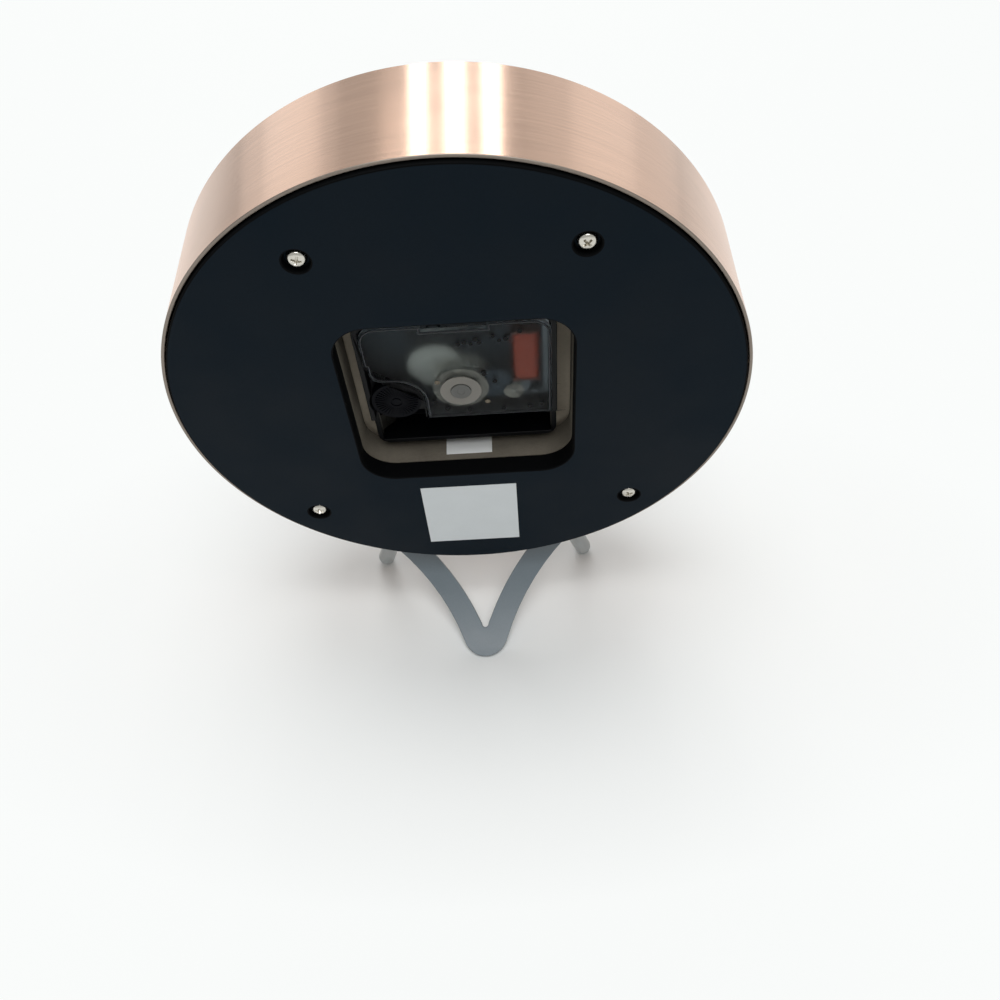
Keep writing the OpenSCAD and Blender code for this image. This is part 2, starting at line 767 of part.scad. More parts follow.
// Plate between the motor side and the dial side of the movement, with posts for board and stator
module train_bridge() {
    color("#1B1C20") place_clock() difference() {
        union() {
            slab(bridge_back, bridge_front) chamber(seat_gap, seat_gap);
            for (p = board_posts) rod(p, pcb_back + pcb_t, bridge_back + join, post_r);
            for (p = stator_posts) rod(p, stator_back + stator_t, bridge_back + join, stator_post_r);
        }
        for (p = [rotor_at, inter_at, third_at])
            rod(p, bridge_back - over, bridge_front + over, pivot_r + run_gap);
        rod(work_at, bridge_back + bridge_t - pivot_l, bridge_front + over, pivot_r + run_gap);
        rod([0, 0], bridge_back - over, bridge_front + over, minute_d / 2 + run_gap);
        rod(knob_at, bridge_back - over, bridge_front + over, stem_r + run_gap);
    }
}

module movement_cover() {
    color("#3A4146", 0.45) place_clock() difference() {
        union() {
            slab(mov_back, cover_in) difference() {
                chamber(seat_gap, seat_gap - divider);
                knob_well(well_wall + free_gap);
                translate([-slot_w / 2, mov_in - slot_h]) square([slot_w, slot_h]);
            }
            for (p = [rotor_at, inter_at, third_at, [0, 0]])
                rod(p, cover_in - join, cover_in + boss_h, boss_r);
            rod([0, 0], mov_back - cover_ring_h, mov_back + join, cover_ring_r);
            rod([0, 0], mov_back - 2 * cover_ring_h, mov_back + join, cover_hub_r);
        }
        for (p = [rotor_at, inter_at, third_at])
            rod(p, cover_in + boss_h - pivot_l - step_gap, cover_in + over, pivot_r + run_gap);
        rod([0, 0], cover_in + boss_h - pivot_l - step_gap, cover_in + over, second_d / 2 + run_gap);
    }
}

module ring(from, to, outer, inner) {
    difference() {
        rod([0, 0], from, to, outer);
        rod([0, 0], from - over, to + over, inner);
    }
}

module fixing_bush() {
    color("#B8973E") place_clock() difference() {
        union() {
            rod([0, 0], cavity_front - bush_flange_t, cavity_front, bush_flange_r);
            rod([0, 0], cavity_front - join, bush_front, bush_d / 2);
        }
        rod([0, 0], cavity_front - bush_flange_t - over, bush_front + over, bush_bore_r);
    }
}

module movement_washer() {
    color("#202020") place_clock() ring(mov_front, pocket_floor, washer_r, bush_d / 2 + seat_gap);
}

module nut_washer() {
    color("#B8973E") place_clock() ring(dial_face, nut_back, nut_washer_r, bush_d / 2 + seat_gap);
}

module fixing_nut() {
    color("#B8973E") place_clock() difference() {
        translate([0, -nut_back, 0]) rotate([90, 0, 0]) cylinder(r = nut_r, h = nut_t, $fn = 6);
        rod([0, 0], nut_back - over, nut_back + nut_t + over, bush_d / 2 + seat_gap);
    }
}

// Setting knob: ribbed disc, stem and pinion in one moulding
module setting_knob() {
    color("#0D0E11") place_clock() {
        rod(knob_at, knob_back, knob_back + knob_t, knob_d / 2);
        rod(knob_at, knob_back - rib_h, knob_back + join, knob_hub_r);
        for (i = [0:knob_ribs - 1]) translate([knob_x, -knob_back, knob_z])
            rotate([0, 360 * i / knob_ribs, 0]) translate([rib_from, -join, -rib_w / 2])
                cube([rib_to - rib_from, rib_h + join, rib_w]);
        rod(knob_at, knob_back, work_layer, stem_r);
        gear(knob_at, cannon_back, cannon_front, cannon_teeth, cannon_mod, knob_turn);
        rod(knob_at, work_layer, cavity_front + pivot_seat - step_gap, knob_pivot_r);
    }
}

// Battery contacts, one at each end of the bay
module contact_plate(side) {
    translate([side > 0 ? mov_in - contact_t : -mov_in, -contact_to, contact_z])
        cube([contact_t, contact_to - contact_from, contact_h]);
}

module negative_contact() {
    leaf = [[mov_in - join, -contact_from - contact_t], [mov_in - leaf_reach, -contact_mid],
            [mov_in - leaf_end, -contact_to + leaf_end]];
    color("#C4C6C6") place_clock() {
        contact_plate(1);
        translate([0, 0, contact_z + leaf_inset]) linear_extrude(contact_h - 2 * leaf_inset)
            polygon(concat(leaf, [for (i = [2:-1:0]) leaf[i] - [contact_t, 0]]));
    }
}

module positive_contact() {
    color("#C4C6C6") place_clock() {
        contact_plate(-1);
        translate([-mov_in, -contact_mid, contact_z + contact_h / 2]) rotate([0, 90, 0])
            cylinder(r = button_r, h = contact_t + button_h);
    }
}

// Electronics and motor
module circuit_board() {
    color("#2F5B46") place_clock() {
        slab(pcb_back, pcb_back + pcb_t) translate([pcb_x, pcb_z]) square([pcb_w, pcb_h]);
        rod(chip_at, pcb_back - chip_h, pcb_back + join, chip_r);
    }
}

module quartz_crystal() {
    color("#C9CBCC") place_clock() translate([crystal_at[0], -pcb_back + crystal_r, crystal_at[1]])
        rotate([0, 90, 0]) cylinder(r = crystal_r, h = crystal_l);
}

module coil_bar(from, to, w, t) {
    translate([coil_x - w / 2, -coil_depth - t / 2, from]) cube([w, t, to - from]);
}

module coil_winding() {
    color("#9A4B3C") place_clock() difference() {
        translate([coil_x, -coil_depth, coil_z]) linear_extrude(coil_l)
            round_square(coil_w, coil_t, coil_r);
        coil_bar(coil_z - over, coil_z + coil_l + over, tube_w, tube_w);
    }
}

module coil_bobbin() {
    color("#D9D2C0") place_clock() difference() {
        union() {
            coil_bar(coil_z - flange_t, coil_z, flange_w, flange_h);
            coil_bar(coil_z + coil_l, coil_z + coil_l + flange_t, flange_w, flange_h);
            coil_bar(coil_z - join, coil_z + coil_l + join, tube_w, tube_w);
        }
        coil_bar(coil_z - 2 * over, coil_z + coil_l + 2 * over,
                 core_w + 2 * seat_gap, stator_t + 2 * seat_gap);
    }
}

module coil_core() {
    color("#8E9296") place_clock() coil_bar(core_low, core_high, core_w, stator_t);
}

// Iron plate around the rotor, with a long leg to the far end of the coil
module stator() {
    color("#8E9296") place_clock() slab(stator_back, stator_back + stator_t) difference() {
        union() {
            translate(rotor_at) circle(r = stator_r);
            translate([stator_leg_x, stator_foot]) square([rotor_x - stator_leg_x, stator_bar_h]);
            translate([stator_leg_x, stator_foot])
                square([stator_leg_w, core_high + stator_bar_h - stator_foot]);
            translate([stator_leg_x, core_high]) square([coil_x + core_w / 2 - stator_leg_x, stator_bar_h]);
            translate([coil_x - core_w / 2, rotor_z]) square([core_w, core_low - rotor_z]);
        }
        translate(rotor_at) circle(r = rotor_r + step_gap);
        translate([stator_leg_x + stator_leg_w, core_low]) square([mov_in, core_high - core_low]);
    }
}

// Wheels. Each arbor runs from the cover to the bridge on thin pivots.
module arbor(at) {
    rod(at, cover_in + boss_h + gear_over, bridge_back - gear_over, arbor_r);
    rod(at, cover_in + boss_h - pivot_l, bridge_back + pivot_l, pivot_r);
}

module rotor() {
    color("#4A4D52") place_clock() {
        arbor(rotor_at);
        gear(rotor_at, layer[0] - gear_over, layer[0] + wheel_t + gear_over, small_teeth, rotor_mod, 0);
        rod(rotor_at, layer[1], stator_back + stator_t + magnet_over, rotor_r);
    }
}

module intermediate_wheel() {
    turn = mesh_turn(bearing(rotor_at, inter_at), 0, small_teeth, inter_teeth);
    color("#E4DFD2") place_clock() {
        arbor(inter_at);
        gear(inter_at, layer[0], layer[0] + wheel_t, inter_teeth, rotor_mod, turn);
        gear(inter_at, layer[0] + wheel_t - join, layer[1] + wheel_t, small_teeth, second_mod, 0);
    }
}

module seconds_wheel() {
    turn = mesh_turn(bearing(inter_at, [0, 0]), 0, small_teeth, second_teeth);
    color("#E4DFD2") place_clock() {
        rod([0, 0], cover_in + boss_h - pivot_l, second_front, second_d / 2);
        rod([0, 0], cover_in + boss_h + gear_over, layer[1] + join, second_d / 2 + collar);
        gear([0, 0], layer[1], layer[1] + wheel_t, second_teeth, second_mod, turn);
        gear([0, 0], layer[1] + wheel_t - join, layer[2] + wheel_t + gear_over, small_teeth, third_mod, 0);
    }
}

module third_wheel() {
    turn = mesh_turn(bearing([0, 0], third_at), 0, small_teeth, third_teeth);
    color("#E4DFD2") place_clock() {
        arbor(third_at);
        gear(third_at, layer[2], layer[2] + wheel_t, third_teeth, third_mod, turn);
        gear(third_at, layer[2] + wheel_t - join, layer[3] + wheel_t + gear_over,
             small_teeth, centre_mod, 0);
    }
}

// Centre wheel: a friction fit on the minute arbor, so that the hands can be set
module centre_wheel() {
    turn = mesh_turn(bearing(third_at, [0, 0]), 0, small_teeth, centre_teeth);
    color("#E4DFD2") place_clock() difference() {
        gear([0, 0], layer[3], layer[3] + wheel_t, centre_teeth, centre_mod, turn);
        rod([0, 0], layer[3] - over, layer[3] + wheel_t + over, minute_d / 2 + run_gap);
    }
}

module minute_arbor() {
    color("#D2CCBE") place_clock() difference() {
        union() {
            rod([0, 0], layer[3] - gear_over, minute_front, minute_d / 2);
            rod([0, 0], layer[3] + wheel_t + gear_over, bridge_back - gear_over, minute_d / 2 + 3 * collar);
            gear([0, 0], cannon_back, cannon_front, cannon_teeth, cannon_mod, 0);
        }
        rod([0, 0], layer[3] - over, minute_front + over, second_d / 2 + run_gap);
    }
}

module minute_work_wheel() {
    color("#D2CCBE") place_clock() {
        rod(work_at, bridge_front - pivot_l + gear_over, cavity_front + pivot_seat - step_gap, pivot_r);
        gear(work_at, work_layer, work_layer + wheel_t, work_teeth, cannon_mod, work_turn);
        gear(work_at, work_layer + wheel_t - join, work_front, work_small_teeth, hour_mod, 0);
    }
}

module hour_wheel() {
    turn = mesh_turn(bearing(work_at, [0, 0]), 0, work_small_teeth, hour_teeth);
    color("#D2CCBE") place_clock() difference() {
        union() {
            gear([0, 0], hour_layer, hour_layer + wheel_t, hour_teeth, hour_mod, turn);
            rod([0, 0], hour_layer, hour_front, hour_d / 2);
        }
        rod([0, 0], hour_layer - over, hour_front + over, minute_d / 2 + run_gap);
    }
}

// Hands: a round boss on the shaft, a tapered blade and a short tail
module hand(at, angle, length, w, tail, shaft_d) {
    tip_w = hand_taper * w;
    slab(at, at + hand_t) difference() {
        rotate(-angle) {
            circle(r = shaft_d / 2 + hand_boss);
            polygon([[-w / 2, -tail], [w / 2, -tail], [tip_w / 2, length], [-tip_w / 2, length]]);
        }
        circle(r = shaft_d / 2 + hand_fit);
    }
}

module hour_hand() {
    color("#2B2C2F") place_clock() hand(hour_hand_at, hour_angle, hour_l, hour_w, hour_tail, hour_d);
}

module minute_hand() {
    color("#2B2C2F") place_clock()
        hand(minute_hand_at, minute_angle, minute_l, minute_w, minute_tail, minute_d);
}

module second_hand() {
    color("#C08F78") place_clock()
        hand(second_hand_at, second_angle, second_l, second_w, second_tail, second_d);
}

case_band();
lens();
lens_gasket();
rehaut_ring();
dial_plate();
hour_markers();
dial_board();
board_spacers();
mounting_board();
back_panel();
back_screws();
back_label();
paper_tag();
thread_inserts();
front_leg_left();
front_leg_right();
rear_leg();
movement_base();
train_bridge();
movement_cover();
fixing_bush();
movement_washer();
nut_washer();
fixing_nut();
setting_knob();
negative_contact();
positive_contact();
circuit_board();
quartz_crystal();
coil_winding();
coil_bobbin();
coil_core();
stator();
rotor();
intermediate_wheel();
seconds_wheel();
third_wheel();
centre_wheel();
minute_arbor();
minute_work_wheel();
hour_wheel();
hour_hand();
minute_hand();
second_hand();
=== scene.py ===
"""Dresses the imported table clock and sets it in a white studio.

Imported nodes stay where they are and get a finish. Pieces whose look needs finer form are built here in the
clock's bench frame: X across as seen from the dial, Y up the case, Z the depth from the back rim towards the
dial, all in millimetres.
"""

from __future__ import annotations

import json
import logging
import math
from collections.abc import Sequence
from dataclasses import dataclass, field
from enum import Enum

import bmesh
import bpy
from bmesh.types import BMesh, BMVert
from bpy.types import Material, Node, NodeSocket, NodeTree, Object
from mathutils import Matrix, Vector

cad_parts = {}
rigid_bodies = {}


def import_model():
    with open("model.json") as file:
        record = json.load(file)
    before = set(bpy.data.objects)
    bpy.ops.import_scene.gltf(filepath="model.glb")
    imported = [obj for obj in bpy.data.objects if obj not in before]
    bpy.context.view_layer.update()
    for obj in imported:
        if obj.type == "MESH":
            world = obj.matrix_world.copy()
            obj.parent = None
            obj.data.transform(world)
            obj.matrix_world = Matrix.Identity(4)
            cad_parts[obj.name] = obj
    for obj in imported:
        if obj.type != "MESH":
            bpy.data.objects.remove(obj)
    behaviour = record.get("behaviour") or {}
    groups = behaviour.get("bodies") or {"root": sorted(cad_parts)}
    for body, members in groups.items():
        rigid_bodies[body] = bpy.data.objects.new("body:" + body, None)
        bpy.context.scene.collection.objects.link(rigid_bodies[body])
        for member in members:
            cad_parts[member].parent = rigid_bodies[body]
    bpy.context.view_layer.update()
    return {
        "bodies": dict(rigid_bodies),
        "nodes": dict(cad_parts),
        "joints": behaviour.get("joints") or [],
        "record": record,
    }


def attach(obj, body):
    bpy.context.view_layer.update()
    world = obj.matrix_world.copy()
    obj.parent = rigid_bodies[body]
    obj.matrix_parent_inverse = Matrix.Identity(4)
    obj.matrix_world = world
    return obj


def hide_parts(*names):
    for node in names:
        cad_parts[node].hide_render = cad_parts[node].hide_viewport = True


LOG = logging.getLogger("table_clock")
MM = 0.001
# Outside radius of the brushed band, in millimetres
BAND_RADIUS = 82.5
BRUSHING = "brushing"
WALL_WHITE = "#FBFDFC"
FLOOR_TONES = ("#F0F2F1", "#F4F5F4")
# Range that most of a noise pattern lies in, and most of a sum of two
NOISE_SPAN = (0.3, 0.7)
PAIR_SPAN = (0.7, 1.3)
BUMP_STRENGTH = 0.5
# Angles in degrees: where shading breaks, up to where two faces count as one flat face, and up to where a
# face counts as facing the back or the dial
CREASE_ANGLE = 32.0
FLAT_ANGLE = 0.4
FACING_ANGLE = 10.0
# Distance in millimetres within which the corners of a spun shape become one
SPIN_WELD = 1e-5

Triple = tuple[float, float, float]
Profile = Sequence[tuple[float, float]]


class Body(Enum):
    """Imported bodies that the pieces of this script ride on."""

    CASE = "clock_case"
    SECONDS = "seconds_set"
    MINUTES = "minute_set"
    HOURS = "hour_set"


class Edge(Enum):
    """Radius in millimetres that a tool or a mould leaves on an edge."""

    SHEET = 0.3
    MOULDED = 0.25
    SAWN = 0.45
    STAMPED = 0.12


def linear(colour: str) -> tuple[float, float, float, float]:
    """Turns an sRGB hex colour into linear light.

    Args:
        colour: Six hex digits after a hash sign.

    Returns:
        Linear red, green and blue, with an alpha of one.
    """
    parts = [int(colour[i:i + 2], 16) / 255 for i in (1, 3, 5)]
    lin = [p / 12.92 if p <= 0.04045 else ((p + 0.055) / 1.055) ** 2.4 for p in parts]
    return lin[0], lin[1], lin[2], 1.0


def feed(node: Node, inputs: dict) -> None:
    """Sets the values of a node's sockets, or links them.

    Args:
        node: The node.
        inputs: Socket name or number, and the socket to link from or the value to set.
    """
    for key, value in inputs.items():
        if isinstance(value, NodeSocket):
            node.id_data.links.new(value, node.inputs[key])
        else:
            node.inputs[key].default_value = value


def add(tree: NodeTree, kind: str, inputs: dict | None = None, **settings: object) -> Node:
    """Adds one shader node with its settings, values and links.

    Args:
        tree: Node tree to add to.
        kind: Blender's name of the node type, without the leading ShaderNode.
        inputs: Socket name or number, and the socket to link from or the value to set.
        settings: Properties of the node itself.

    Returns:
        The new node.
    """
    made = tree.nodes.new("ShaderNode" + kind)
    for key, value in settings.items():
        setattr(made, key, value)
    feed(made, inputs or {})
    return made


def scale_of(size_mm: float) -> float:
    """Gives the texture scale at which a pattern's feature has a size in millimetres."""
    return 1 / (size_mm * MM)


@dataclass(frozen=True)
class Finish:
    """A surface: the material, how it was made, and the pattern that this gives.

    Attributes:
        name: Name of the material, and of how its surface was made.
        colour: sRGB hex colour.
        roughness: Mean roughness.
        metallic: One for a bare metal.
        specular: Level of the dielectric reflection, 0.5 for an IOR of 1.5.
        grain_mm: Size of the surface's grain.
        grain_depth_mm: Height of that grain.
        tone: Share by which the colour varies.
        patch_mm: Size of the patches in which gloss varies.
        gloss_change: How far roughness varies.
    """

    name: str
    colour: str
    roughness: float
    metallic: float = 0.0
    specular: float = 0.5
    grain_mm: float = 0.4
    grain_depth_mm: float = 0.01
    tone: float = 0.06
    patch_mm: float = 14.0
    gloss_change: float = 0.06

    def material(self) -> Material:
        """Makes the material once, and returns the same one after that.

        Returns:
            The Blender material of this finish.
        """
        found = bpy.data.materials.get(self.name)
        if found:
            return found
        made = bpy.data.materials.new(self.name)
        made.use_nodes = True
        made.diffuse_color = linear(self.colour)
        tree = made.node_tree
        tree.nodes.clear()
        surface = add(tree, "BsdfPrincipled", {
            "Base Color": linear(self.colour), "Roughness": self.roughness, "Metallic": self.metallic,
            "Specular IOR Level": self.specular})
        feed(surface, self.dress(tree, add(tree, "TexCoord").outputs["Object"]))
        add(tree, "OutputMaterial", {"Surface": surface.outputs["BSDF"]})
        return made

    def toned(self, share: float) -> tuple[float, float, float, float]:
        """Gives the linear colour made lighter or darker by a share."""
        r, g, b, a = linear(self.colour)
        return r * share, g * share, b * share, a

    def dress(self, tree: NodeTree, place: NodeSocket) -> dict:
        """Adds grain, uneven tone and uneven gloss.

        Args:
            tree: Node tree of the material.
            place: Object coordinates.

        Returns:
            Inputs of the shader.
        """
        grain = add(tree, "TexNoise", {"Vector": place, "Scale": scale_of(self.grain_mm), "Detail": 3.0,
                                       "Roughness": 0.55})
        return self.lay(tree, place, grain.outputs["Fac"])

    def patches(self, tree: NodeTree, place: NodeSocket) -> tuple[NodeSocket, NodeSocket]:
        """Adds wide patches, and a roughness that varies with them.

        Args:
            tree: Node tree of the material.
            place: Object coordinates.

        Returns:
            The patches, from 0 to 1, and the roughness.
        """
        patch = add(tree, "TexNoise", {"Vector": place, "Scale": scale_of(self.patch_mm)}).outputs["Fac"]
        low, high = NOISE_SPAN
        rough = add(tree, "MapRange", {"Value": patch, "From Min": low, "From Max": high,
                                       "To Min": max(0.0, self.roughness - self.gloss_change),
                                       "To Max": self.roughness + self.gloss_change})
        return patch, rough.outputs[0]

    def lay(self, tree: NodeTree, place: NodeSocket, grain: NodeSocket) -> dict:
        """Lays a fine grain and wide patches on colour, roughness and normal.

        Args:
            tree: Node tree of the material.
            place: Object coordinates.
            grain: Height of the fine grain, from 0 to 1.

        Returns:
            Inputs of the shader.
        """
        patch, rough = self.patches(tree, place)
        low, high = PAIR_SPAN
        mixed = add(tree, "Math", {0: grain, 1: patch}, operation="ADD")
        factor = add(tree, "MapRange", {"Value": mixed.outputs[0], "From Min": low, "From Max": high})
        colour = add(tree, "Mix", {0: factor.outputs[0], 6: self.toned(1 - self.tone),
                                   7: self.toned(1 + self.tone)}, data_type="RGBA")
        bump = add(tree, "Bump", {"Strength": BUMP_STRENGTH, "Distance": self.grain_depth_mm * MM,
                                  "Height": grain})
        return {"Base Color": colour.outputs[2], "Roughness": rough, "Normal": bump.outputs[0]}


@dataclass(frozen=True)
class BrushedFinish(Finish):
    """Metal brushed along one line, so that light spreads across the strokes.

    Attributes:
        line_mm: Spacing of the strokes. Real ones are finer; this is as fine as the render shows.
        run_mm: Length of a stroke.
        spread: How far the gloss is drawn out across the strokes.
        coat: Share of a clear lacquer, which pales the metal where it is seen edge on.
    """

    line_mm: float = 0.8
    run_mm: float = 30.0
    spread: float = 1.0
    coat: float = 0.6

    def dress(self, tree: NodeTree, place: NodeSocket) -> dict:
        """Adds strokes that follow the piece's own map, in which the first axis crosses them.

        Args:
            tree: Node tree of the material.
            place: Object coordinates, for the wide patches.

        Returns:
            Inputs of the shader.
        """
        along = add(tree, "UVMap", uv_map=BRUSHING)
        drawn = add(tree, "Mapping", {
            "Vector": along.outputs["UV"], "Scale": (1 / self.line_mm, 1 / self.run_mm, 1.0)})
        strokes = add(tree, "TexNoise", {"Vector": drawn.outputs["Vector"], "Scale": 1.0, "Detail": 4.0,
                                         "Roughness": 0.7}, noise_dimensions="2D")
        across = add(tree, "Tangent", direction_type="UV_MAP", uv_map=BRUSHING)
        return {**self.lay(tree, place, strokes.outputs["Fac"]), "Tangent": across.outputs["Tangent"],
                "Anisotropic": self.spread, "Coat Weight": self.coat, "Coat Roughness": self.roughness}


@dataclass(frozen=True)
class FibreFinish(Finish):
    """Pressed wood fibre as the saw leaves it: matte, with short fibres and darker flecks.

    Attributes:
        fleck_mm: Size of the flecks.
        layer_mm: Thickness of the pressed layers.
    """

    fleck_mm: float = 1.3
    layer_mm: float = 2.4

    def dress(self, tree: NodeTree, place: NodeSocket) -> dict:
        """Adds fibres, flecks and pressed layers.

        Args:
            tree: Node tree of the material.
            place: Object coordinates.

        Returns:
            Inputs of the shader.
        """
        drawn = add(tree, "Mapping", {
            "Vector": place, "Scale": (scale_of(self.fleck_mm), scale_of(self.layer_mm / 4),
                                       scale_of(self.fleck_mm))})
        flecks = add(tree, "TexNoise", {"Vector": drawn.outputs["Vector"], "Scale": 1.0, "Detail": 5.0,
                                        "Roughness": 0.7})
        return self.lay(tree, place, flecks.outputs["Fac"])


@dataclass(frozen=True)
class ClearFinish(Finish):
    """Clear glass or styrene, which light passes through.

    Attributes:
        ior: Index of refraction.
        clear: Share of the light that passes.
    """

    ior: float = 1.5
    clear: float = 1.0

    def dress(self, tree: NodeTree, place: NodeSocket) -> dict:
        """Lets light pass, with gloss that varies a little in wide patches.

        Args:
            tree: Node tree of the material.
            place: Object coordinates.

        Returns:
            Inputs of the shader.
        """
        rough = self.patches(tree, place)[1]
        return {"IOR": self.ior, "Transmission Weight": self.clear, "Roughness": rough}


@dataclass(frozen=True)
class WoundFinish(Finish):
    """Enamelled wire wound in close turns up a coil.

    Attributes:
        turn_mm: Spacing of the turns. Real wire is a hair thick; this is as fine as the render shows.
        up: Direction of the coil.
    """

    turn_mm: float = 0.3
    up: Triple = (0.0, 0.14, 0.99)

    def dress(self, tree: NodeTree, place: NodeSocket) -> dict:
        """Adds a ridge for each turn, and uneven tone.

        Args:
            tree: Node tree of the material.
            place: Object coordinates.

        Returns:
            Inputs of the shader.
        """
        height = add(tree, "VectorMath", {0: place, 1: self.up}, operation="DOT_PRODUCT")
        phase = add(tree, "Math", {0: height.outputs["Value"], 1: math.tau * scale_of(self.turn_mm)},
                    operation="MULTIPLY")
        ridge = add(tree, "Math", {0: phase.outputs[0]}, operation="SINE")
        turns = add(tree, "MapRange", {"Value": ridge.outputs[0], "From Min": -1.0})
        return self.lay(tree, place, turns.outputs[0])


# Steel band plated rose gold and brushed around the drum: pink metal with glints that run front to back
ROSE_GOLD_BRUSHED = BrushedFinish("rose_gold_steel_brushed", "#E4BEA6", 0.26, 1.0, tone=0.08,
                                  grain_depth_mm=0.012, patch_mm=30.0, gloss_change=0.02)
# Sheared edge of that sheet, where the plating ends: dull grey-brown
SHEARED_EDGE = Finish("steel_sheared_edge", "#8D837A", 0.5, 1.0, grain_mm=0.5, tone=0.1, patch_mm=5.0)
# Polished and plated small parts: the same pink, with clear reflections
ROSE_GOLD_POLISHED = Finish("rose_gold_brass_polished", "#DDAE94", 0.16, 1.0, grain_mm=0.3,
                            grain_depth_mm=0.001, tone=0.03, gloss_change=0.04)
# Board under a matte blue-black lacquer: almost no gloss, with a faint orange peel and wiped patches
NAVY_LACQUER = Finish("board_matte_navy_lacquer", "#0B1720", 0.6, specular=0.08, grain_mm=0.5,
                      grain_depth_mm=0.012, tone=0.12, patch_mm=26.0, gloss_change=0.08)
# Sealed edges of that board: dead black
EDGE_LACQUER = Finish("board_edge_black_sealer", "#030405", 0.7, specular=0.06, grain_mm=0.5,
                      grain_depth_mm=0.02, tone=0.2)
# Raw medium-density fibreboard, sawn: dull taupe with fibres
FIBREBOARD = FibreFinish("fibreboard_sawn", "#746E63", 0.92, specular=0.2, grain_depth_mm=0.05, tone=0.14,
                         patch_mm=9.0, gloss_change=0.04)
# The inner board: the same fibreboard made paler, as painted light on the deep strips beside the movement
FIBREBOARD_PAINTED_LIT = FibreFinish("fibreboard_painted_light", "#CFC4B1", 0.88, specular=0.2, grain_depth_mm=0.03,
                                tone=0.08, patch_mm=9.0, gloss_change=0.04)
# Steel screw with bright nickel plating: clear reflections, a little rubbed
NICKEL = Finish("nickel_plated_steel", "#CFCBC2", 0.2, 1.0, grain_mm=0.25, grain_depth_mm=0.006, tone=0.08,
                patch_mm=1.6, gloss_change=0.1)
# Coated label paper: white and dull, with a slight fibre
PAPER = Finish("label_paper_coated", "#E2E7E9", 0.62, specular=0.3, grain_mm=0.35, grain_depth_mm=0.006,
               tone=0.02, patch_mm=7.0)
# Smooth card of the tag: a brighter white
CARD = Finish("tag_card_white", "#FAFCFB", 0.5, specular=0.3, grain_mm=0.3, grain_depth_mm=0.004, tone=0.01,
              patch_mm=5.0)
# Steel with a grey powder coat: satin, with a fine orange peel; darker than the pegs' coat, as painted shade
# of the drum over the wishbone
GREY_PAINT_SHADED = Finish("steel_grey_powder_coat_painted_shade", "#747F86", 0.44, grain_mm=0.55, grain_depth_mm=0.02, tone=0.05,
                    patch_mm=12.0)
# Light-grey powder coat of the pegs: the same satin, paler
PALE_PAINT = Finish("steel_pale_powder_coat", "#B9BDBD", 0.4, grain_mm=0.55, grain_depth_mm=0.02, tone=0.05,
                    patch_mm=10.0)
# Black styrene, moulded: half gloss with a fine spark-eroded texture
BLACK_STYRENE = Finish("styrene_black_moulded", "#060709", 0.4, specular=0.12, tone=0.1, patch_mm=8.0,
                       gloss_change=0.08)
# The same black in a duller moulding, for the knob
BLACK_ACETAL = Finish("acetal_black_moulded", "#06070C", 0.5, specular=0.06, grain_mm=0.3,
                      grain_depth_mm=0.008, tone=0.1, patch_mm=4.0)
# Smoky clear styrene with an etched inner face: near things show, deeper ones blur. Its index is set low,
# since the etched face of a real cover sends little light back
SMOKY_STYRENE = ClearFinish("styrene_smoky_clear", "#BFC6C9", 0.5, specular=0.1, ior=1.17, patch_mm=11.0,
                            gloss_change=0.05)
# Polished bead along that cover's edge: a thin opaque line, lighter than the smoky cover, which is a painted
# highlight along the edge
BEAD_PAINTED_HIGHLIGHT = Finish("styrene_bead_painted_highlight", "#2B3034", 0.3, specular=0.3, grain_depth_mm=0.004, patch_mm=6.0)
# Etched patch of the same cover: pale and milky
MILKY_STYRENE = ClearFinish("styrene_milky_etched", "#A5A199", 0.5, ior=1.45, clear=0.45, patch_mm=3.0)
# The boss in its middle: duller and darker
DULL_STYRENE = ClearFinish("styrene_dull_boss", "#7F7F7C", 0.5, ior=1.45, clear=0.45, patch_mm=3.0)
# Dark grey styrene of the plate inside, moulded: dull, with a fine texture
GREY_STYRENE = Finish("styrene_grey_moulded", "#434C54", 0.5, specular=0.3, tone=0.1)
# Natural nylon, moulded: off-white with a soft gloss
NYLON = Finish("nylon_natural_moulded", "#EAE5D8", 0.48, grain_depth_mm=0.006, tone=0.03, patch_mm=4.0)
# The same nylon with dark grease on it: uneven grey-brown
NYLON_GREASED = Finish("nylon_greased", "#8E8A80", 0.5, grain_depth_mm=0.006, tone=0.08, patch_mm=3.0)
# Enamelled copper wire on the motor coil: red-brown with fine turns
COIL_WIRE = WoundFinish("copper_wire_enamelled", "#D95C3F", 0.42, grain_depth_mm=0.08, tone=0.16,
                        patch_mm=3.0)
# Phenolic resin of the bobbin, moulded: dull red-brown
PHENOLIC = Finish("phenolic_brown_moulded", "#7A4A3C", 0.5, specular=0.3, grain_depth_mm=0.006, tone=0.1,
                  patch_mm=3.0)
# Bronze pivot ends, turned and gone dull: brown with soft reflections
BRONZE_DULL = Finish("bronze_pivot_dull", "#6E675B", 0.45, 1.0, grain_mm=0.2, grain_depth_mm=0.003, tone=0.1,
                     patch_mm=1.0)
# Nickel-plated contact springs, darkened to grey with soft reflections: painted shade of the dark battery
# bay
NICKEL_PAINTED_SHADE = Finish("nickel_darkened_painted_shade", "#3E3D3A", 0.34, 1.0, grain_mm=0.3, grain_depth_mm=0.004,
                          tone=0.1, patch_mm=2.0, gloss_change=0.1)
# Turned brass: yellow with clear reflections
BRASS = Finish("brass_turned", "#CBA75A", 0.24, 1.0, grain_mm=0.2, grain_depth_mm=0.003, patch_mm=3.0)
# Stamped soft iron: grey, a little dull
SOFT_IRON = Finish("soft_iron_stamped", "#9A9C9E", 0.36, 1.0, grain_depth_mm=0.006, tone=0.1, patch_mm=2.5,
                   gloss_change=0.1)
# Circuit board under black solder mask: half gloss with a faint weave
SOLDER_MASK = Finish("circuit_board_solder_mask", "#10161A", 0.36, specular=0.3, grain_mm=0.5, tone=0.12,
                     patch_mm=2.0)
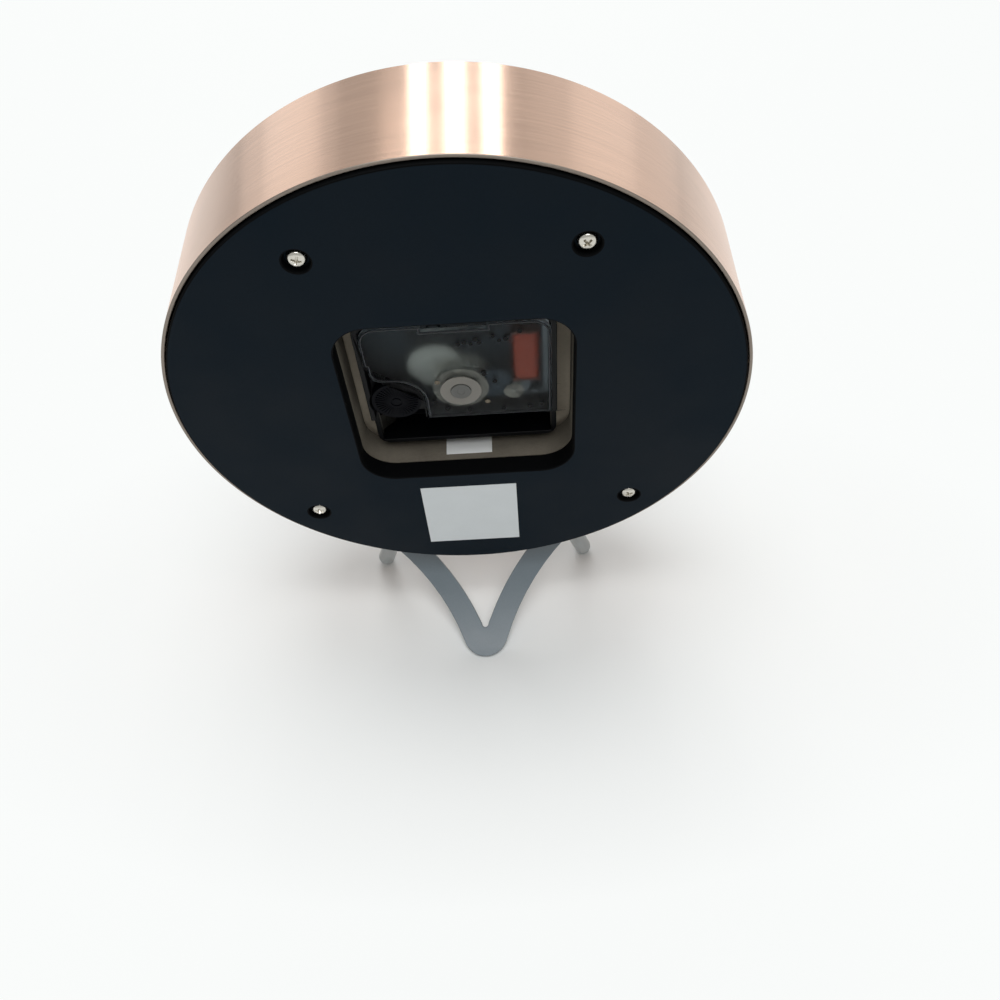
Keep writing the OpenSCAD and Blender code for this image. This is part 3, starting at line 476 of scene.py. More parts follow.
# Window glass, polished: clear, with sharp reflections
GLASS = ClearFinish("glass_polished", "#FAFBFA", 0.01, ior=1.5, gloss_change=0.005, patch_mm=40.0)
# Nitrile rubber, moulded: black and dull
RUBBER = Finish("rubber_black_moulded", "#151515", 0.75, specular=0.3, tone=0.1)
# White styrene, moulded: half gloss
WHITE_STYRENE = Finish("styrene_white_moulded", "#E4E2DD", 0.4, grain_mm=0.5, grain_depth_mm=0.008,
                       tone=0.02)
# Aluminium dial under a warm white lacquer: matte, with a silky grain
DIAL_LACQUER = Finish("aluminium_white_lacquer", "#F4F0E8", 0.5, grain_depth_mm=0.006, tone=0.02,
                      patch_mm=20.0)
# Aluminium hand under a dark lacquer: satin, with soft reflections
HAND_LACQUER = Finish("aluminium_dark_lacquer", "#232428", 0.3, grain_depth_mm=0.004, patch_mm=9.0)
# Screen-printed ink of the minute track: flat dark grey
PRINT_INK = Finish("screen_ink_dark", "#3A3A3C", 0.6, specular=0.3, grain_mm=0.2, grain_depth_mm=0.002,
                   tone=0.05)


def soften(bm: BMesh, radius: float, segments: int = 2, sharper_than: float = 38.0) -> None:
    """Rounds every edge whose faces meet more sharply than an angle.

    Args:
        bm: Mesh to round.
        radius: Width of the rounding, in the mesh's own unit.
        segments: Faces across the rounding.
        sharper_than: Angle in degrees.
    """
    limit = math.radians(sharper_than)
    sharp = [e for e in bm.edges if len(e.link_faces) == 2 and e.calc_face_angle(0.0) > limit]
    bmesh.ops.bevel(bm, geom=sharp, offset=radius, offset_type="OFFSET", affect="EDGES", segments=segments,
                    profile=0.5, clamp_overlap=False, material=-1)


def turned(profile: Profile, closed: bool, steps: int = 64) -> BMesh:
    """Spins an outline around the bench's Z axis.

    Args:
        profile: Radius and depth of each corner.
        closed: Whether the last corner joins the first; otherwise both lie on the axis.
        steps: Faces around.

    Returns:
        A closed mesh on the Z axis.
    """
    bm = bmesh.new()
    verts = [bm.verts.new((r, 0.0, z)) for r, z in profile]
    ends = verts[1:] + verts[:1] if closed else verts[1:]
    edges = [bm.edges.new(pair) for pair in zip(verts, ends)]
    bmesh.ops.spin(bm, geom=verts + edges, cent=(0, 0, 0), axis=(0, 0, 1), angle=math.tau, steps=steps,
                   use_merge=True)
    bmesh.ops.remove_doubles(bm, verts=bm.verts, dist=SPIN_WELD)
    bmesh.ops.recalc_face_normals(bm, faces=bm.faces)
    return bm


def swept(bm: BMesh, start: BMVert, centre: tuple[float, float], angle: float, steps: int) -> BMVert:
    """Draws an arc of edges from a corner of an outline.

    Args:
        bm: Mesh that holds the outline.
        start: Corner that the arc leaves from.
        centre: Middle of the arc.
        angle: Sweep in degrees, counter-clockwise.
        steps: Edges in the arc.

    Returns:
        The corner at the arc's end.
    """
    made = bmesh.ops.spin(bm, geom=[start], cent=(*centre, start.co.z), axis=(0, 0, 1),
                          angle=math.radians(angle), steps=steps)
    return next(g for g in made["geom_last"] if isinstance(g, BMVert))


def joined(parts: list[tuple[BMesh, Matrix]]) -> BMesh:
    """Puts several meshes into one, each moved by its own matrix, and frees them.

    Args:
        parts: Meshes and their places.

    Returns:
        One mesh with all of them.
    """
    whole = bmesh.new()
    for part, place in parts:
        bmesh.ops.transform(part, matrix=place, verts=part.verts)
        flat = bpy.data.meshes.new("part")
        part.to_mesh(flat)
        whole.from_mesh(flat)
        part.free()
        bpy.data.meshes.remove(flat)
    return whole


def carved(body: BMesh, tool: BMesh) -> BMesh:
    """Takes one closed shape out of another.

    Args:
        body: Shape to cut; it is freed.
        tool: Shape to take out; it is freed.

    Returns:
        What is left.
    """
    pair = []
    for shape in (body, tool):
        flat = bpy.data.meshes.new("shape")
        shape.to_mesh(flat)
        shape.free()
        pair.append(bpy.data.objects.new("shape", flat))
        bpy.context.scene.collection.objects.link(pair[-1])
    cut = pair[0].modifiers.new("cut", "BOOLEAN")
    cut.object, cut.operation, cut.solver = pair[1], "DIFFERENCE", "EXACT"
    bpy.context.view_layer.update()
    left = bmesh.new()
    left.from_object(pair[0], bpy.context.evaluated_depsgraph_get())
    for shape in pair:
        flat = shape.data
        bpy.data.objects.remove(shape)
        bpy.data.meshes.remove(flat)
    return left


@dataclass
class Workshop:
    """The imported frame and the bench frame, shared by every sub-assembly.

    Attributes:
        frame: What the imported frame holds.
        bench: Bench millimetres to the shared frame in metres.
    """

    frame: dict
    bench: Matrix

    @classmethod
    def open(cls, frame: dict, axis_joint: str = "seconds_turn", joint_depth: float = 9.0) -> Workshop:
        """Finds the bench frame from the joint on the clock's axis.

        Args:
            frame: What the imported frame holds.
            axis_joint: Joint that turns on the clock's axis.
            joint_depth: Depth of that joint's stated place.

        Returns:
            The workshop.
        """
        joint = next(j for j in frame["joints"] if j["name"] == axis_joint)
        back = Vector(joint["axis"]).normalized()
        across = Vector((1.0, 0.0, 0.0))
        up = (-back).cross(across)
        turn = Matrix((across, up, -back)).transposed().to_4x4()
        middle = Vector(joint["pos_m"]) + back * joint_depth * MM
        return cls(frame, Matrix.Translation(middle) @ turn @ Matrix.Scale(MM, 4))

    def dress(self, finish: Finish, *nodes: str) -> None:
        """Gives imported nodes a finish.

        Args:
            finish: The finish.
            nodes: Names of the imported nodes.
        """
        for name in nodes:
            mesh = self.frame["nodes"][name].data
            mesh.materials.clear()
            mesh.materials.append(finish.material())
            LOG.info("%s: packed node in %s", name, finish.name)

    def add_piece(self, name: str, bm: BMesh, finish: Finish, body: Body = Body.CASE,
                  replaces: tuple[str, ...] = (), on_bench: bool = True, slot: str = "") -> Object:
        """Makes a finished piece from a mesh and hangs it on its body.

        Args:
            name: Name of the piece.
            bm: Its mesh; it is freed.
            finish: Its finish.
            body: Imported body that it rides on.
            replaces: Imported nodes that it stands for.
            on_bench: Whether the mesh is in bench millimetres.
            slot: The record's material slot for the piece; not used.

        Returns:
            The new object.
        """
        if on_bench:
            bmesh.ops.transform(bm, matrix=self.bench, verts=bm.verts)
        mesh = bpy.data.meshes.new(name)
        bm.to_mesh(mesh)
        bm.free()
        mesh.shade_smooth()
        mesh.set_sharp_from_angle(angle=math.radians(CREASE_ANGLE))
        mesh.materials.append(finish.material())
        piece = bpy.data.objects.new(name, mesh)
        bpy.context.scene.collection.objects.link(piece)
        even = piece.modifiers.new("flat_faces_stay_flat", "WEIGHTED_NORMAL")
        even.keep_sharp = True
        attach(piece, body.value)
        if replaces:
            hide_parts(*replaces)
        LOG.info("%s: new piece on %s in %s", name, body.value, finish.name)
        return piece

    def round_node(self, node: str, edge: Edge, finish: Finish, name: str, body: Body = Body.CASE,
                   side_finish: Finish | None = None, weld: float = 0.002) -> None:
        """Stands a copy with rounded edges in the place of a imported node.

        Args:
            node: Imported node.
            edge: Radius of its edges.
            finish: Finish of the copy.
            name: Name of the copy.
            body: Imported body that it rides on.
            side_finish: Finish of the faces that don't face the back or the dial, if it differs.
            weld: Distance in millimetres within which corners become one before the rounding.
        """
        bm = bmesh.new()
        bm.from_mesh(self.frame["nodes"][node].data)
        bmesh.ops.remove_doubles(bm, verts=bm.verts, dist=weld * MM)
        bmesh.ops.dissolve_limit(bm, angle_limit=math.radians(FLAT_ANGLE), verts=bm.verts, edges=bm.edges)
        soften(bm, edge.value * MM)
        if side_finish:
            bm.normal_update()
            depth = self.bench.to_3x3() @ Vector((0.0, 0.0, 1 / MM))
            for face in bm.faces:
                face.material_index = int(abs(face.normal.dot(depth)) < math.cos(math.radians(FACING_ANGLE)))
        piece = self.add_piece(name, bm, finish, body, (node,), on_bench=False, slot=self.slot_of(node))
        if side_finish:
            piece.data.materials.append(side_finish.material())

    def add_turned(self, name: str, finish: Finish, shapes: list[tuple[Profile, Triple]],
                   closed: bool = False, steps: int = 64) -> None:
        """Turns several shapes and makes one piece of them.

        Args:
            name: Name of the piece.
            finish: Its finish.
            shapes: Outline of each shape, and its place on the bench.
            closed: Whether the outlines are rings, clear of their axes.
            steps: Faces around each shape.
        """
        parts = [(turned(outline, closed, steps), Matrix.Translation(place)) for outline, place in shapes]
        self.add_piece(name, joined(parts), finish)

    def middle(self, node: str) -> Vector:
        """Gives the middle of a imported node's box in bench millimetres."""
        return sum(self.span(node), Vector()) / 2

    def spots(self, node: str) -> list[Vector]:
        """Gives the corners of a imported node's mesh in bench millimetres."""
        to_bench = self.bench.inverted()
        return [to_bench @ v.co for v in self.frame["nodes"][node].data.vertices]

    def span(self, node: str) -> tuple[Vector, Vector]:
        """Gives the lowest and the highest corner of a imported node's box in bench millimetres."""
        axes = list(zip(*self.spots(node)))
        return Vector(map(min, axes)), Vector(map(max, axes))

    def slot_of(self, node: str) -> str:
        """Gives the record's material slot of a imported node."""
        return next((s["material_slot"] for s in self.frame["record"]["subparts"] if s["node"] == node), "")


@dataclass
class CaseDrum:
    """Brushed band, back panel, inner boards and the four screws.

    Attributes:
        shop: Workshop that the pieces are made in.
        radius: Outside radius of the band.
        depth: Depth of the band.
        wall: Thickness of its sheet.
        lip: Width of the turned-in lip.
        rim_round: Rounding of the band's edges.
        rim_steps: Faces around the band.
        quarters: Side and level of the panel's quarter that holds each screw, and the turn of its cross.
        screw_seat: Depth of the screws' seats.
        head_r: Radius of a screw's head.
        head_h: Height of a screw's head.
        head_curve: Outline of the head, as shares of that radius and height.
        arm: Length, width and height of the cross recess's arms, as shares of the head's sizes.
        arm_taper: Size of the arms' floor against their mouth.
        arm_rise: Height of the arms' middle, as a share of the head's height.
        screw_round: Rounding of the screws' edges.
        shank_r: Radius of its shank.
        shank_end: Depth of its end.
    """

    shop: Workshop
    radius: float = BAND_RADIUS
    depth: float = 36.5
    wall: float = 1.0
    lip: float = 3.5
    rim_round: float = 0.28
    rim_steps: int = 256
    quarters: tuple[tuple[int, int, float], ...] = (
        (1, 1, 20.0), (-1, 1, 48.0), (1, -1, 8.0), (-1, -1, 62.0))
    screw_seat: float = 1.0
    head_r: float = 2.6
    head_h: float = 1.75
    head_curve: Profile = (
        (0.0, 1.0), (0.36, 0.99), (0.66, 0.9), (0.86, 0.7), (0.97, 0.4), (1.0, 0.1), (0.96, 0.0))
    arm: Triple = (1.3, 0.3, 1.3)
    arm_taper: Triple = (0.5, 0.6, 1.0)
    arm_rise: float = 0.9
    screw_round: float = 0.07
    shank_r: float = 1.5
    shank_end: float = 22.0

    def build(self) -> None:
        """Builds and dresses the drum's pieces."""
        self.band()
        self.screw_set()
        self.shop.round_node("back_panel", Edge.SAWN, NAVY_LACQUER, "back_panel_lacquered",
                             side_finish=EDGE_LACQUER)
        self.shop.dress(FIBREBOARD, "mounting_board")
        # The dial board takes the paler fibreboard: painted light on the strips beside the movement
        self.shop.dress(FIBREBOARD_PAINTED_LIT, "dial_board")
        self.shop.dress(RUBBER, "board_spacers")
        self.shop.dress(BRASS, "thread_inserts")

    def band(self) -> None:
        """Spins the band, rounds its edges and maps its brushing."""
        inner, under = self.radius - self.wall, self.depth - self.wall
        mouth = inner - self.lip
        bm = turned([(self.radius, 0.0), (self.radius, self.depth), (mouth, self.depth), (mouth, under),
                     (inner, under), (inner, 0.0)], closed=True, steps=self.rim_steps)
        soften(bm, self.rim_round, segments=3)
        brushing = bm.loops.layers.uv.new(BRUSHING)
        for face in bm.faces:
            middle = face.calc_center_median()
            mid_angle = math.atan2(middle.x, middle.y)
            for corner in face.loops:
                co = corner.vert.co
                off = math.remainder(math.atan2(co.x, co.y) - mid_angle, math.tau)
                across = co.z - math.hypot(co.x, co.y)
                corner[brushing].uv = (across, (mid_angle + off) * self.radius)
            face.material_index = int(middle.z < self.rim_round)
        band = self.shop.add_piece("brushed_band", bm, ROSE_GOLD_BRUSHED, replaces=("case_band",),
                                   slot=self.shop.slot_of("case_band"))
        band.data.materials.append(SHEARED_EDGE.material())

    def screw(self, turn: float) -> BMesh:
        """Makes one pan-head screw with a cross recess, its seat at zero depth.

        Args:
            turn: Turn of the cross in degrees.

        Returns:
            The screw on the Z axis.
        """
        r, h, end = self.head_r, self.head_h, self.shank_end - self.screw_seat
        head = [(x * r, -y * h) for x, y in self.head_curve]
        bm = turned([*head, (self.shank_r, 0.0), (self.shank_r, end), (0.0, end)], closed=False, steps=48)
        long, wide, high = self.arm
        for quarter in (0, 90):
            arm = bmesh.new()
            verts = bmesh.ops.create_cube(arm, size=1.0)["verts"]
            bmesh.ops.scale(arm, vec=(long * r, wide * r, high * h), verts=verts)
            bmesh.ops.scale(arm, vec=self.arm_taper, verts=[v for v in verts if v.co.z > 0])
            bmesh.ops.rotate(arm, matrix=Matrix.Rotation(math.radians(turn + quarter), 3, "Z"), verts=verts)
            bmesh.ops.translate(arm, vec=(0.0, 0.0, -self.arm_rise * h), verts=verts)
            bm = carved(bm, arm)
        return bm

    def screw_set(self) -> None:
        """Sets the four screws into the panel's sinks."""
        spots = self.shop.spots("back_screws")
        parts = []
        for side, level, turn in self.quarters:
            own = [s for s in spots if s.x * side > 0 and s.y * level > 0]
            x, y = ((min(along) + max(along)) / 2 for along in list(zip(*own))[:2])
            parts.append((self.screw(turn), Matrix.Translation((x, y, self.screw_seat))))
        bm = joined(parts)
        soften(bm, self.screw_round, sharper_than=40.0)
        self.shop.add_piece("cross_screws", bm, NICKEL, replaces=("back_screws",),
                            slot=self.shop.slot_of("back_screws"))


@dataclass
class BackPaper:
    """The blank label on the panel and the blank tag in the opening.

    Attributes:
        shop: Workshop that the pieces are made in.
    """

    shop: Workshop

    def build(self) -> None:
        """Dresses both papers."""
        self.shop.dress(PAPER, "back_label")
        self.shop.dress(CARD, "paper_tag")


@dataclass
class Legs:
    """Two peg legs and the wishbone leg of bent sheet.

    Attributes:
        shop: Workshop that the pieces are made in.
        leg_weld: Distance within which the wishbone's corners become one.
    """

    shop: Workshop
    leg_weld: float = 0.15

    def build(self) -> None:
        """Dresses the pegs and rounds the wishbone's sheet."""
        self.shop.dress(PALE_PAINT, "front_leg_left", "front_leg_right")
        # The wishbone takes the darker grey coat: painted shade under the drum
        self.shop.round_node("rear_leg", Edge.SHEET, GREY_PAINT_SHADED, "wishbone_leg", weld=self.leg_weld)


@dataclass
class Movement:
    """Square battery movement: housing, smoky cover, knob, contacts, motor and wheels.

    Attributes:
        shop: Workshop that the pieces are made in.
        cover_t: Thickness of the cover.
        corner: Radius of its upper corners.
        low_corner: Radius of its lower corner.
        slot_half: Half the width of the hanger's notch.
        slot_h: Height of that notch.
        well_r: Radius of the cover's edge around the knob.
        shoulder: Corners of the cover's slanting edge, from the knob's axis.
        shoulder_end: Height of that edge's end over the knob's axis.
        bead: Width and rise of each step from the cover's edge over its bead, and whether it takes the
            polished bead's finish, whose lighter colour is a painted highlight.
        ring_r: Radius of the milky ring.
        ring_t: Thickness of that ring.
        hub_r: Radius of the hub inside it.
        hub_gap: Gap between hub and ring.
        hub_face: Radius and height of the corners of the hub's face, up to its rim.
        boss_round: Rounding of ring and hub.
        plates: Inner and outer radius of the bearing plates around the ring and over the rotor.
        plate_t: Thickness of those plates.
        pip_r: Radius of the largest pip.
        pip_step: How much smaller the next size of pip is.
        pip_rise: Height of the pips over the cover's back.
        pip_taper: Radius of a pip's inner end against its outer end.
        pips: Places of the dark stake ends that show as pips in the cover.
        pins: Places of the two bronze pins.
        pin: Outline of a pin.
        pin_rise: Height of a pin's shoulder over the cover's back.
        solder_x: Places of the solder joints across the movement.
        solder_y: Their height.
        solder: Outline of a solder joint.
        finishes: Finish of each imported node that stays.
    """

    shop: Workshop
    cover_t: float = 1.2
    corner: float = 5.0
    low_corner: float = 1.2
    slot_half: float = 9.0
    slot_h: float = 2.0
    well_r: float = 8.7
    shoulder: Profile = ((3.1, 8.8), (5.5, 9.9), (6.3, 12.2), (6.3, 15.4))
    shoulder_end: float = 15.8
    bead: tuple[tuple[float, float, int], ...] = (
        (0.35, 0.0, 0), (0.16, 0.16, 1), (0.3, 0.0, 1), (0.16, -0.16, 0))
    ring_r: float = 6.0
    ring_t: float = 0.3
    hub_r: float = 2.9
    hub_gap: float = 0.15
    hub_face: Profile = ((0.0, 0.45), (1.0, 0.45), (1.2, 0.6))
    boss_round: float = 0.1
    plates: Profile = ((5.6, 8.1), (0.8, 2.9))
    plate_t: float = 0.25
    pip_r: float = 0.8
    pip_step: float = 0.1
    pip_rise: float = 0.03
    pip_taper: float = 0.8
    pips: Profile = (
        (-7.1, 6.5), (-10.1, 3.1), (8.0, -4.6), (4.6, -7.8), (-1.9, -8.8), (-12.2, -8.8), (-19.9, -8.6),
        (-23.5, -7.6), (-10.4, 21.2), (-5.6, 20.4), (-6.6, 19.1), (-4.2, 18.6), (-2.5, 19.4), (-0.7, 18.9),
        (-12.1, 19.5), (-13.9, 20.0), (-17.9, 22.6))
    pins: Profile = ((6.5, 4.0), (-7.5, -5.3))
    pin: Profile = ((0.0, -0.3), (0.3, -0.25), (0.5, 0.0), (0.8, 0.05), (0.8, 0.3), (0.0, 0.3))
    pin_rise: float = 0.2
    solder_x: tuple[float, ...] = (2.3, 1.2, 0.2, -0.9, -2.0, -3.4, -6.0, -7.3)
    solder_y: float = 20.5
    solder: Profile = ((0.0, -0.3), (0.25, -0.24), (0.42, 0.0), (0.0, 0.0))
    finishes: dict[str, Finish] = field(default_factory=lambda: {
        "train_bridge": GREY_STYRENE, "fixing_bush": BRASS, "movement_washer": RUBBER, "nut_washer": BRASS,
        # The contacts take the darkened nickel: painted shade of the battery bay
        "fixing_nut": BRASS, "negative_contact": NICKEL_PAINTED_SHADE, "positive_contact": NICKEL_PAINTED_SHADE,
        "circuit_board": SOLDER_MASK, "quartz_crystal": NICKEL, "coil_winding": COIL_WIRE,
        "coil_bobbin": PHENOLIC, "coil_core": SOFT_IRON, "stator": SOFT_IRON, "rotor": NYLON,
        "intermediate_wheel": GREY_STYRENE, "seconds_wheel": NYLON, "third_wheel": NYLON,
        "centre_wheel": NYLON, "minute_arbor": NYLON, "minute_work_wheel": NYLON, "hour_wheel": NYLON,
        "setting_knob": BLACK_ACETAL})

    @property
    def back(self) -> float:
        """Depth of the movement's back."""
        return self.shop.span("movement_base")[0].z

    def build(self) -> None:
        """Builds the cover's pieces and dresses the rest."""
        self.shop.round_node("movement_base", Edge.MOULDED, BLACK_STYRENE, "movement_housing")
        self.cover()
        self.centre()
        self.bearings()
        self.pip_set()
        self.solder_row()
        for node, finish in self.finishes.items():
            self.shop.dress(finish, node)

    def cover(self) -> None:
        """Traces the cover's outline, raises a bead along it and gives it its thickness."""
        bm = bmesh.new()
        (left, low, _), (right, top, _) = self.shop.span("movement_cover")
        knob_x, knob_y, _ = self.shop.middle("setting_knob")
        first = bm.verts.new((knob_x - self.well_r, low, self.back))
        arc_start = bm.verts.new((knob_x - self.well_r, knob_y, self.back))
        bm.edges.new((first, arc_start))
        arc_end = swept(bm, arc_start, (knob_x, knob_y), -90, steps=20)
        beside = [(knob_x + x, knob_y + y) for x, y in self.shoulder]
        notch, floor = self.slot_half, top - self.slot_h
        round_ones = [bm.verts.new((x, y, self.back)) for x, y in ((right, top), (left, top), (left, low))]
        edge = [bm.verts.new((x, y, self.back)) for x, y in (
            *beside, (right, knob_y + self.shoulder_end),
            (notch, top), (notch, floor), (-notch, floor), (-notch, top))]
        turn = len(beside) + 1
        chain = [arc_end, *edge[:turn], round_ones[0], *edge[turn:], *round_ones[1:], first]
        for pair in zip(chain, chain[1:]):
            bm.edges.new(pair)
        face = bmesh.ops.edgeloop_fill(bm, edges=bm.edges)["faces"][0]
        bm.normal_update()
        if face.normal.z > 0:
            face.normal_flip()
        for corners, radius in ((round_ones[:2], self.corner), (round_ones[2:], self.low_corner)):
            bmesh.ops.bevel(bm, geom=corners, offset=radius, affect="VERTICES", segments=8, profile=0.5,
                            material=-1)
        bmesh.ops.solidify(bm, geom=bm.faces[:], thickness=self.cover_t)
        bmesh.ops.recalc_face_normals(bm, faces=bm.faces)
        outside = min(bm.faces, key=lambda f: f.calc_area() * f.normal.z)
        # The bead's rising side and top take the lighter bead finish: a painted highlight along the cover's
        # edge
        for width, rise, polished in self.bead:
            step = bmesh.ops.inset_region(bm, faces=[outside], thickness=width, depth=rise,
                                          use_even_offset=True)
            for face in step["faces"]:
                face.material_index = polished
        cover = self.shop.add_piece("smoky_cover", bm, SMOKY_STYRENE, replaces=("movement_cover",),
                                    slot=self.shop.slot_of("movement_cover"))
        cover.data.materials.append(BEAD_PAINTED_HIGHLIGHT.material())

    def centre(self) -> None:
        """Turns the milky ring on the cover, and the hub in its middle."""
        z, inside = self.back, self.hub_r + self.hub_gap
        over = z - self.ring_t
        ring = turned([(inside, z), (inside, over), (self.ring_r, over), (self.ring_r, z)], closed=True)
        face = [(r, z - h) for r, h in self.hub_face]
        hub = turned([*face, (self.hub_r, face[-1][1]), (self.hub_r, z), (0.0, z)], closed=False)
        for name, bm, finish in (("cover_ring", ring, MILKY_STYRENE), ("cover_hub", hub, DULL_STYRENE)):
            soften(bm, self.boss_round)
            self.shop.add_piece(name, bm, finish)

    def bearings(self) -> None:
        """Sets pale bearing plates under the cover, around the ring and over the rotor."""
        under, t = self.back + self.cover_t, self.plate_t
        places = (Vector(), self.shop.middle("rotor"))
        shapes = [([(inside, 0.0), (inside, t), (outside, t), (outside, 0.0)], (place.x, place.y, under))
                  for (inside, outside), place in zip(self.plates, places)]
        self.shop.add_turned("cover_bearings", NYLON_GREASED, shapes, closed=True)

    def pip_set(self) -> None:
        """Sets dark pips into the cover, in three sizes, and two bronze pins through it."""
        deep = self.cover_t + self.pip_rise
        shapes = []
        for i, (x, y) in enumerate(self.pips):
            wide = self.pip_r - self.pip_step * (i % 3)
            outline = [(0.0, 0.0), (wide, 0.0), (self.pip_taper * wide, deep), (0.0, deep)]
            shapes.append((outline, (x, y, self.back - self.pip_rise)))
        self.shop.add_turned("cover_pips", BLACK_STYRENE, shapes, steps=16)
        shapes = [(self.pin, (x, y, self.back - self.pin_rise)) for x, y in self.pins]
        self.shop.add_turned("cover_pins", BRONZE_DULL, shapes, steps=24)

    def solder_row(self) -> None:
        """Sets bright solder joints on the circuit board, where the hanger's notch shows it."""
        top = self.shop.span("circuit_board")[0].z
        shapes = [(self.solder, (x, self.solder_y, top)) for x in self.solder_x]
        self.shop.add_turned("solder_row", NICKEL, shapes, steps=12)


@dataclass
class DialFront:
    """Glass, dial, printed track, batons and hands.

    Attributes:
        shop: Workshop that the pieces are made in.
        face: Depth of the dial's face.
        track_in: Inner radius of the minute track.
        track_out: Outer radius of the minute track.
        ink: Thickness of the print.
        ticks: Width and number of the ticks, and of the broader ones at the hours.
    """

    shop: Workshop
    face: float = 24.5
    track_in: float = 71.6
    track_out: float = 74.2
    ink: float = 0.03
    ticks: tuple[tuple[float, int], ...] = ((0.35, 60), (0.9, 12))

    def build(self) -> None:
        """Dresses the front and prints the minute track."""
        self.shop.dress(GLASS, "lens")
        self.shop.dress(RUBBER, "lens_gasket")
        self.shop.dress(WHITE_STYRENE, "rehaut_ring")
        self.shop.dress(DIAL_LACQUER, "dial_plate")
        for node, finish, name, body in (
                ("hour_markers", ROSE_GOLD_POLISHED, "hour_batons", Body.CASE),
                ("hour_hand", HAND_LACQUER, "hour_hand_blade", Body.HOURS),
                ("minute_hand", HAND_LACQUER, "minute_hand_blade", Body.MINUTES),
                ("second_hand", ROSE_GOLD_POLISHED, "second_hand_blade", Body.SECONDS)):
            self.shop.round_node(node, Edge.STAMPED, finish, name, body)
        self.track()

    def track(self) -> None:
        """Prints sixty ticks around the dial, broader at each hour."""
        bm = bmesh.new()
        middle = Vector((0.0, (self.track_in + self.track_out) / 2, self.face + self.ink / 2))
        for width, count in self.ticks:
            bar = bmesh.ops.create_cube(bm, size=1.0)["verts"]
            bmesh.ops.scale(bm, vec=(width, self.track_out - self.track_in, self.ink), verts=bar)
            bmesh.ops.translate(bm, vec=middle, verts=bar)
            edges = {e for v in bar for e in v.link_edges}
            faces = {f for v in bar for f in v.link_faces}
            bmesh.ops.spin(bm, geom=[*bar, *edges, *faces], cent=(0, 0, 0), axis=(0, 0, 1),
                           angle=math.tau * (count - 1) / count, steps=count - 1, use_duplicate=True)
        self.shop.add_piece("minute_track", bm, PRINT_INK)


class Outline(Enum):
    """Outlines of a lamp: an oblong shows sharp sides on brushed metal, an oval fades out."""

    OBLONG = "RECTANGLE"
    OVAL = "ELLIPSE"


@dataclass(frozen=True)
class Softbox:
    """A soft lamp.

    Attributes:
        name: Name of the lamp.
        direction: Direction from its target to the lamp.
        width: Width in metres.
        height: Height in metres.
        radiance: Light that its face gives; one is white.
        distance: Distance from its target in metres.
        upright: Direction of the lamp's height.
        shape: Outline of the lamp.
        mirrored: Whether metal and glass show it.
    """

    name: str
    direction: Triple
    width: float
    height: float
    radiance: float
    distance: float = 1.2
    upright: Triple = (0.0, 1.0, 0.0)
    shape: Outline = Outline.OBLONG
    mirrored: bool = True

    def hang(self, target: Vector) -> None:
        """Hangs the lamp so that it faces a point.

        Args:
            target: Point that it faces.
        """
        lamp = bpy.data.lights.new(self.name, "AREA")
        lamp.shape, lamp.size, lamp.size_y = self.shape.value, self.width, self.height
        lamp.energy = self.radiance * math.pi * self.width * self.height
        hung = bpy.data.objects.new(self.name, lamp)
        away = Vector(self.direction).normalized()
        across = Vector(self.upright).cross(away).normalized()
        turn = Matrix((across, away.cross(across), away)).transposed().to_4x4()
        hung.matrix_world = Matrix.Translation(target + away * self.distance) @ turn
        hung.visible_glossy = self.mirrored
        bpy.context.scene.collection.objects.link(hung)


@dataclass(frozen=True)
class Glint:
    """A lamp that the band mirrors to the camera at one place.

    Attributes:
        name: Name of the lamp.
        angle: Place on the band, in degrees from its top, to the right as seen from behind.
        spread: Part of the band that mirrors it, in degrees.
        radiance: Light that its face gives; one is white.
        shape: Outline of the lamp.
        length: Length of the lamp in metres.
        distance: Distance from the band in metres.
    """

    name: str
    angle: float
    spread: float
    radiance: float
    shape: Outline = Outline.OVAL
    length: float = 0.9
    distance: float = 1.2

    def hang(self, shop: Workshop, radius: float, depth: float, camera: Vector) -> None:
        """Hangs the lamp where the band's mirror law puts it, along the line that brushing spreads it on.

        Args:
            shop: Workshop that holds the bench frame.
            radius: Radius of the band in bench millimetres.
            depth: Depth of the mirroring place in bench millimetres.
            camera: Place of the camera.
        """
        turn = math.radians(self.angle)
        turned_up = Vector((-math.sin(turn), math.cos(turn), 0.0))
        spot = shop.bench @ (turned_up * radius + Vector((0.0, 0.0, depth)))
        to_world = shop.bench.to_3x3()
        normal = (to_world @ turned_up).normalized()
        axis = (to_world @ Vector((0.0, 0.0, 1.0))).normalized()
        view = (camera - spot).normalized()
        mirrored = 2 * normal.dot(view) * normal - view
        smear = view.dot(axis) * normal + view.dot(normal) * axis
        across_axis = math.sqrt(1 - mirrored.dot(axis) ** 2)
        width = 2 * math.radians(self.spread) * across_axis * self.distance
        Softbox(self.name, tuple(mirrored), width, self.length, self.radiance, self.distance, tuple(smear),
                self.shape).hang(spot)


